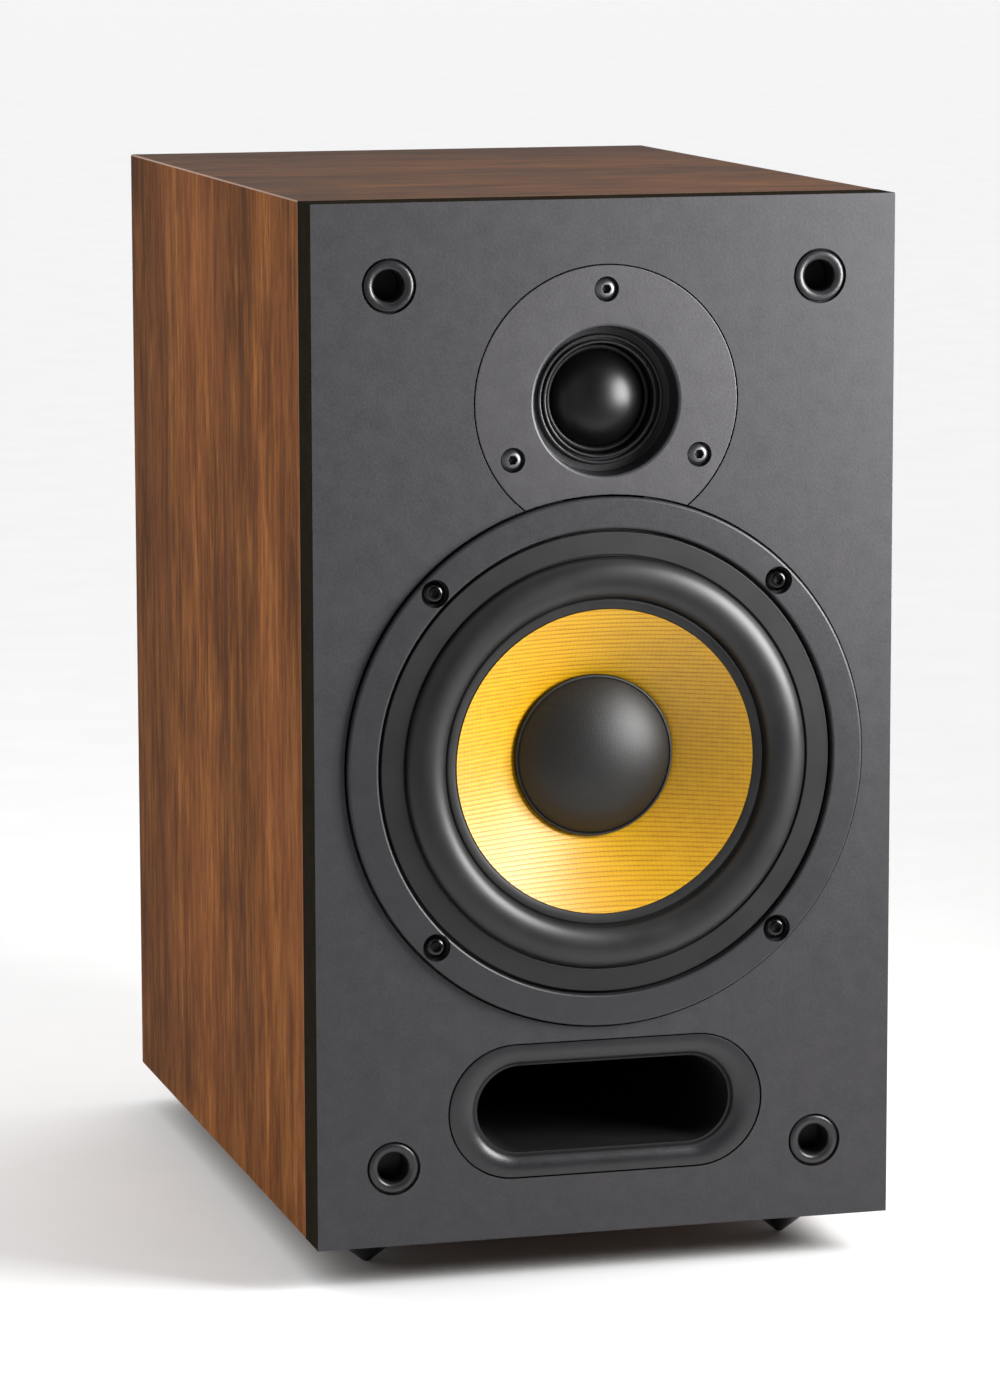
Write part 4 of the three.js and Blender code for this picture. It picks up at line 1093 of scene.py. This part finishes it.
def make_faceplate():
    """A round plate, cut where the trim ring overlaps it, with a recess that steps down to the dome."""
    edge = FACEPLATE_RADIUS
    wall = [(edge, 0, 0.35), (22.2, 0, 1.0), (21.4, 7.2, 0.3), (19.3, 7.4, 0.2)]
    outer_ridge = [(19.2, 6.3, 0.35), (18.3, 6.3, 0.35)]
    groove = [(18.2, 8.2, 0.2), (17.5, 8.2, 0.2)]
    inner_ridge = [(17.4, 6.9, 0.3), (16.6, 6.9, 0.35), (16.6, 11)]
    throat = fillet(wall + outer_ridge + groove + inner_ridge, closed=False)[1:]
    back = [(30, 11), (30, TWEETER_REBATE), (edge, TWEETER_REBATE)]
    rim = [(edge, 0.35), (edge - 0.1, 0.1), (edge - 0.35, 0)]
    face = revolve("faceplate", throat + back + rim, TWEETER, FINE)
    carve(face, disc("cut", TRIM_RADIUS + TRIM_GAP, -BEYOND, 15, WOOFER, FINE))
    for place in TWEETER_SCREWS:
        carve(face, disc("cut", 3.75, -BEYOND, 2.25, place), disc("cut", 2.05, -BEYOND, 6, place))
    stand_for(face, "tweeter_faceplate", FACEPLATE_GREY, LIP_GREY_AND_RECESS_SHADE, BLACK_PLASTIC_AND_RECESS_SHADE)
    # Faces inside the recess take darker finishes by depth: painted shade on its walls, and black painted
    # shade in the groove and throat at its bottom.
    for side in face.data.polygons:
        offset = side.center / MM - TWEETER
        radius = math.hypot(offset.x, offset.z)
        inside = offset.y > 0.9 and radius < 22.5
        deep = offset.y > 7.5 and radius < 19
        side.material_index = 2 if deep else 1 if inside else 0


def make_dome():
    """The dome with its rim, and the small half roll that it moves on."""
    radius = half_size("tweeter_dome").x
    apex, base, thickness = corners("tweeter_dome")[0].y - FRONT, 10.75, 0.4
    outside, inside = cap_outline(radius, base, base - apex, thickness)
    edge = [(radius, base + thickness), (radius - thickness, base + thickness)]
    stand_for(revolve("dome", outside + edge + inside, TWEETER, ROUND), "tweeter_dome", DOME_SILK)
    start, end, flange = radius + 0.05, 16.5, 11
    front = half_roll(start, end, flange, flange - corners("tweeter_surround")[0].y + FRONT, 16)
    back = half_roll(start + 0.35, end - 0.35, flange + 0.4, 1.25, 16)[::-1]
    outline = front + [(20, flange), (20, flange + 0.5), (16.4, flange + 0.5)] + back
    ring = revolve("ring", outline, TWEETER, ROUND)
    flex_between(ring, "tweeter_surround", DOME_SILK)


# ---- Port --------------------------------------------------------------------------------------


def make_port():
    """The flange's lip rolls over into the bore; its section grows from the bore's outline to the rim's."""
    bore_width, bore_height = DUCT_HALF.x - DUCT_WALL, DUCT_HALF.z - DUCT_WALL
    wide, high = PORT_HALF.x - bore_width, PORT_HALF.z - bore_height

    def flange_section(margin):
        share = margin / high
        return stadium(bore_width + wide * share, bore_height + high * share)

    def duct_section(margin):
        return stadium(bore_width, bore_height, margin)

    mouth, lip, steps = 0.9, 4.6, 14
    curve = []
    for k in range(steps + 1):
        angle = math.pi / 2 * k / steps
        curve.append((mouth + lip * (1 - math.sin(angle)), PORT_REBATE * (1 - math.cos(angle))))
    flange = curve[::-1] + [(high - 0.5, 0), (high - 0.15, 0.12), (high, 0.5), (high, PORT_REBATE)]
    stand_for(loft("flange", flange_section, flange, PORT), "port_flange", LIP_GREY_AND_RECESS_SHADE)
    end, flare = corners("port_duct")[1].y - FRONT, 1.4
    outside = [(0.3, PORT_REBATE), (DUCT_WALL, PORT_REBATE), (DUCT_WALL, end)]
    duct = outside + [(flare, end), (0, end - flare), (0, 5)]
    stand_for(loft("duct", duct_section, duct, PORT), "port_duct", PORT_BLACK_AND_HOLLOW_SHADE)


# ---- Terminals, crossover and leads ------------------------------------------------------------

STUDS = {colour: "terminal_stud_" + colour for colour in ("red", "black")}


def make_terminal_cup():
    """A flanged recess. Distances run outwards from the rear face."""
    rise, bevel, thread_hole = 2.0, 0.8, 1.9

    def plate_section(margin):
        return round_box(*CUP_PLATE, margin)

    shell = loft("cup", cup_section, [(CUP_WALL, CUP_FLOOR - CUP_WALL), (CUP_WALL, 0.5)], TERMINALS, True)
    plate = [(0, 0), (0, rise - bevel), (-0.25, rise - 0.25), (-bevel, rise)]
    combine(shell, loft("flange", plate_section, plate, TERMINALS, True), "UNION")
    hollow = [(0, CUP_FLOOR), (0, rise - bevel), (0.5, rise + 0.1), (0.5, rise + 2)]
    carve(shell, loft("cut", cup_section, hollow, TERMINALS, True))
    for node in STUDS.values():
        carve(shell, disc("cut", STUD_HOLE, CUP_FLOOR - CUP_WALL - 2, CUP_FLOOR + 2, on_rear(node)))
    for k in range(4):
        carve(shell, disc("cut", thread_hole, -2, 4, on_rear(f"terminal_screw_{k + 1}")))
    stand_for(shell, "terminal_cup", BLACK_PLASTIC_AND_RECESS_SHADE)


def make_posts():
    """Two binding posts: a drilled stud with a collar, a clamp washer and a fluted knob."""
    for colour, plastic in (("red", RED_PLASTIC), ("black", KNOB_BLACK)):
        origin = on_rear(STUDS[colour])
        tail = [(0, -27), (2.6, -27), (3, -26.4)]
        collar = [(3, CUP_FLOOR), (6.5, CUP_FLOOR, 0.3), (6.5, -14, 0.5), (3, -14)]
        socket = [(3, 1.6), (2.7, 2), (2.1, 2, 0.1), (2.1, -8), (0, -8)]
        stud = revolve("stud", fillet(tail + collar + socket, closed=False), origin, SMALL)
        hole = disc("cut", 1, -10, 10, Vector((0, 0, 0)), 24)
        hole.rotation_euler = Euler((0, 0, math.pi / 2))
        hole.location = (origin + Vector((0, -11, 0))) * MM
        carve(stud, hole)
        stand_for(stud, STUDS[colour], GOLD_PLATE)
        washer = [(3.3, -13.5), (6.25, -13.5, 0.3), (6.25, -12, 0.3), (3.3, -12)]
        turned("terminal_washer_" + colour, washer, origin, GOLD_PLATE, segments=SMALL)
        end = corners("terminal_knob_" + colour)[1].y - REAR
        neck = [(3.3, -11.5), (6.1, -11.5, 0.2), (6.1, -9.6, 0.2)]
        grip = [(6.5, -9.2, 0.2), (6.5, end - 1.6, 0.5), (5.7, end, 0.5)]
        bore = [(2.25, end, 0.25), (2.25, end - 1.5), (3.3, end - 1.5)]
        knob = revolve("knob", fillet(neck + grip + bore), origin, 216, flutes=(18, 0.45, 6.2))
        stand_for(knob, "terminal_knob_" + colour, plastic)


def make_board():
    board = box("board", *corners("crossover_board"))
    for node in STUDS.values():
        carve(board, disc("cut", STUD_HOLE, -30, -15, on_rear(node)))
    stand_for(soften(board, 0.15), "crossover_board", BOARD_GREEN)


def make_inductor():
    """Wire wound on a bobbin, one rounded ridge for each turn."""
    low, high = corners("crossover_inductor")
    centre = middle("crossover_inductor")
    centre.y = low.y
    core, wound, cheek, length = 8, 16.2, 17, high.y - low.y
    turns, steps = 14, 6
    pitch = (length - 2) / turns
    ridges = []
    for k in range(turns):
        for step in range(steps):
            height = 0.5 * math.sin(math.pi * step / steps)
            ridges.append((wound + height, 1 + pitch * (k + step / steps)))
    near = [(core, 0), (cheek, 0, 0.3), (cheek, 0.9), (wound, 0.9)]
    far = [(wound, length - 0.9), (cheek, length - 0.9), (cheek, length, 0.3), (core, length)]
    bobbin = revolve("inductor", fillet(near + ridges + far), centre, ROUND)
    stand_for(bobbin, "crossover_inductor", COIL_WIRE, angle=50)


def make_crossover():
    make_board()
    make_inductor()
    low, high = corners("crossover_capacitor")
    foot = middle("crossover_capacitor")
    foot.z = low.z
    end, dish = high.z - low.z, 0.8
    bottom = [(0, dish), (7.4, dish, 0.3), (9, 0, 0.8)]
    top = [(9, end, 0.8), (7.4, end - dish, 0.3), (0, end - dish)]
    turned("crossover_capacitor", bottom + top, foot, FILM_WRAP, closed=False, upright=True)
    resistor = box("resistor", *corners("crossover_resistor"))
    stand_for(soften(resistor, 0.8, 3), "crossover_resistor", CEMENT)


def make_lead(node, route):
    """Twin flex: two insulated cores side by side along the route, in the cabinet's own coordinates."""
    cores = []
    for side in (-0.72, 0.72):
        points = [Vector((x + side, FRONT + y, CABINET_LOW.z + z)) for x, y, z in route]
        cores.append(tube(points, 0.75))
    stand_for(joined("lead", cores), node, LEAD_SHEATH, angle=60)


def make_leads():
    board = corners("crossover_board")[0].y - FRONT - 0.5
    start = [(45, board, 70), (46, board - 12, 70), (50, board - 45, 74)]
    climb = [(54, 150, 84), (54, 110, 90), (50, 75, 104), (46, 55, 118), (45.5, 40, 124)]
    make_lead("woofer_lead", start + climb)
    start = [(-48, board, 130), (-48, board - 12, 131), (-46, board - 50, 158), (-40, 160, 184)]
    climb = [(-36, 136, 186), (-30, 110, 190), (-22, 70, 215), (-18, 45, 238), (-18, 31, 242)]
    make_lead("tweeter_lead", start + climb)


# ---- Camera, lights and floor ------------------------------------------------------------------


def make_camera():
    """A long lens from the front left, a little above the speaker."""
    data = bpy.data.cameras.new("camera")
    data.lens = 140.7
    data.sensor_width = 36
    pitch, heading, roll = math.radians(81.02), math.radians(-15.28), math.radians(-0.13)
    camera = bpy.data.objects.new("camera", data)
    bpy.context.scene.collection.objects.link(camera)
    camera.location = Vector((-443.9, FRONT - 1505.2, CABINET_LOW.z + 413.8)) * MM
    camera.rotation_mode = "QUATERNION"
    aimed = Euler((pitch, 0, heading), "XYZ").to_quaternion()
    camera.rotation_quaternion = aimed @ Euler((0, 0, roll), "XYZ").to_quaternion()
    bpy.context.scene.camera = camera


def area_light(name, place, target, size, power, spread=180):
    data = bpy.data.lights.new(name, "AREA")
    data.shape = "RECTANGLE"
    data.size, data.size_y = size
    data.energy = power
    data.spread = math.radians(spread)
    light = bpy.data.objects.new(name, data)
    light.location = place
    light.rotation_mode = "QUATERNION"
    light.rotation_quaternion = (Vector(target) - Vector(place)).to_track_quat("-Z", "Y")
    bpy.context.scene.collection.objects.link(light)


def make_world(least, most):
    """A studio lit from above and behind: least in front and below, most along the tilted axis."""
    world = bpy.data.worlds.new("studio")
    world.use_nodes = True
    nodes, links = world.node_tree.nodes, world.node_tree.links
    direction = nodes.new("ShaderNodeTexCoord")
    along = nodes.new("ShaderNodeVectorMath")
    along.operation = "DOT_PRODUCT"
    along.inputs[1].default_value = (0, 0.8, 0.6)
    links.new(direction.outputs["Generated"], along.inputs[0])
    level = nodes.new("ShaderNodeMapRange")
    level.interpolation_type = "SMOOTHSTEP"
    level.inputs["From Min"].default_value = -0.1
    level.inputs["From Max"].default_value = 0.9
    level.inputs["To Min"].default_value = least
    level.inputs["To Max"].default_value = most
    links.new(along.outputs["Value"], level.inputs["Value"])
    links.new(level.outputs[0], nodes["Background"].inputs["Strength"])
    nodes["Background"].inputs["Color"].default_value = (1, 1, 1, 1)
    bpy.context.scene.world = world


def make_floor():
    """Pale paper, greyer in front of the speaker so that less light comes up to the baffle."""
    span = 60 / MM
    ends = ((-span, -span, 0), (span, -span, 0), (span, span, 0), (-span, span, 0))
    floor = mesh_object("floor", ends, [(0, 1, 2, 3)])
    paper = Finish("floor_paper", 0.8, Specular_IOR_Level=0.1)
    near = {"Value": paper.along("Y"), "From Min": -0.6, "From Max": -0.2}
    fade = paper.node("ShaderNodeMapRange", near, interpolation_type="SMOOTHSTEP")
    fibre = paper.grain(0.02, detail=3.0)
    white = paper.ramp(fibre, (0.2, rgb(244, 244, 244)), (0.8, rgb(248, 248, 248)))
    paper.colour(paper.mix(fade, rgb(158, 158, 158), white))
    floor.data.materials.append(paper.material)


def make_studio():
    make_world(least=0.03, most=1.75)
    bpy.context.scene.view_settings.view_transform = "Standard"
    area_light("key", (0.36, -0.36, 0.33), (0, -0.13, 0.3), (0.26, 0.30), 3.1, spread=120)
    area_light("left_fill", (-1.2, -1.1, 0.8), (0, -0.13, 0.2), (1.6, 1.6), 4.5)
    make_floor()


make_camera()
make_baffle()
make_walls()
make_rear_panel()
make_brace()
make_foam()
make_spikes()
make_screws()
make_sockets()
make_trim_ring()
make_gasket()
make_surround()
make_cone()
make_dust_cap()
make_coils()
make_spider()
make_basket()
make_motors()
make_faceplate()
make_dome()
make_port()
make_terminal_cup()
make_posts()
make_crossover()
make_leads()
make_studio()
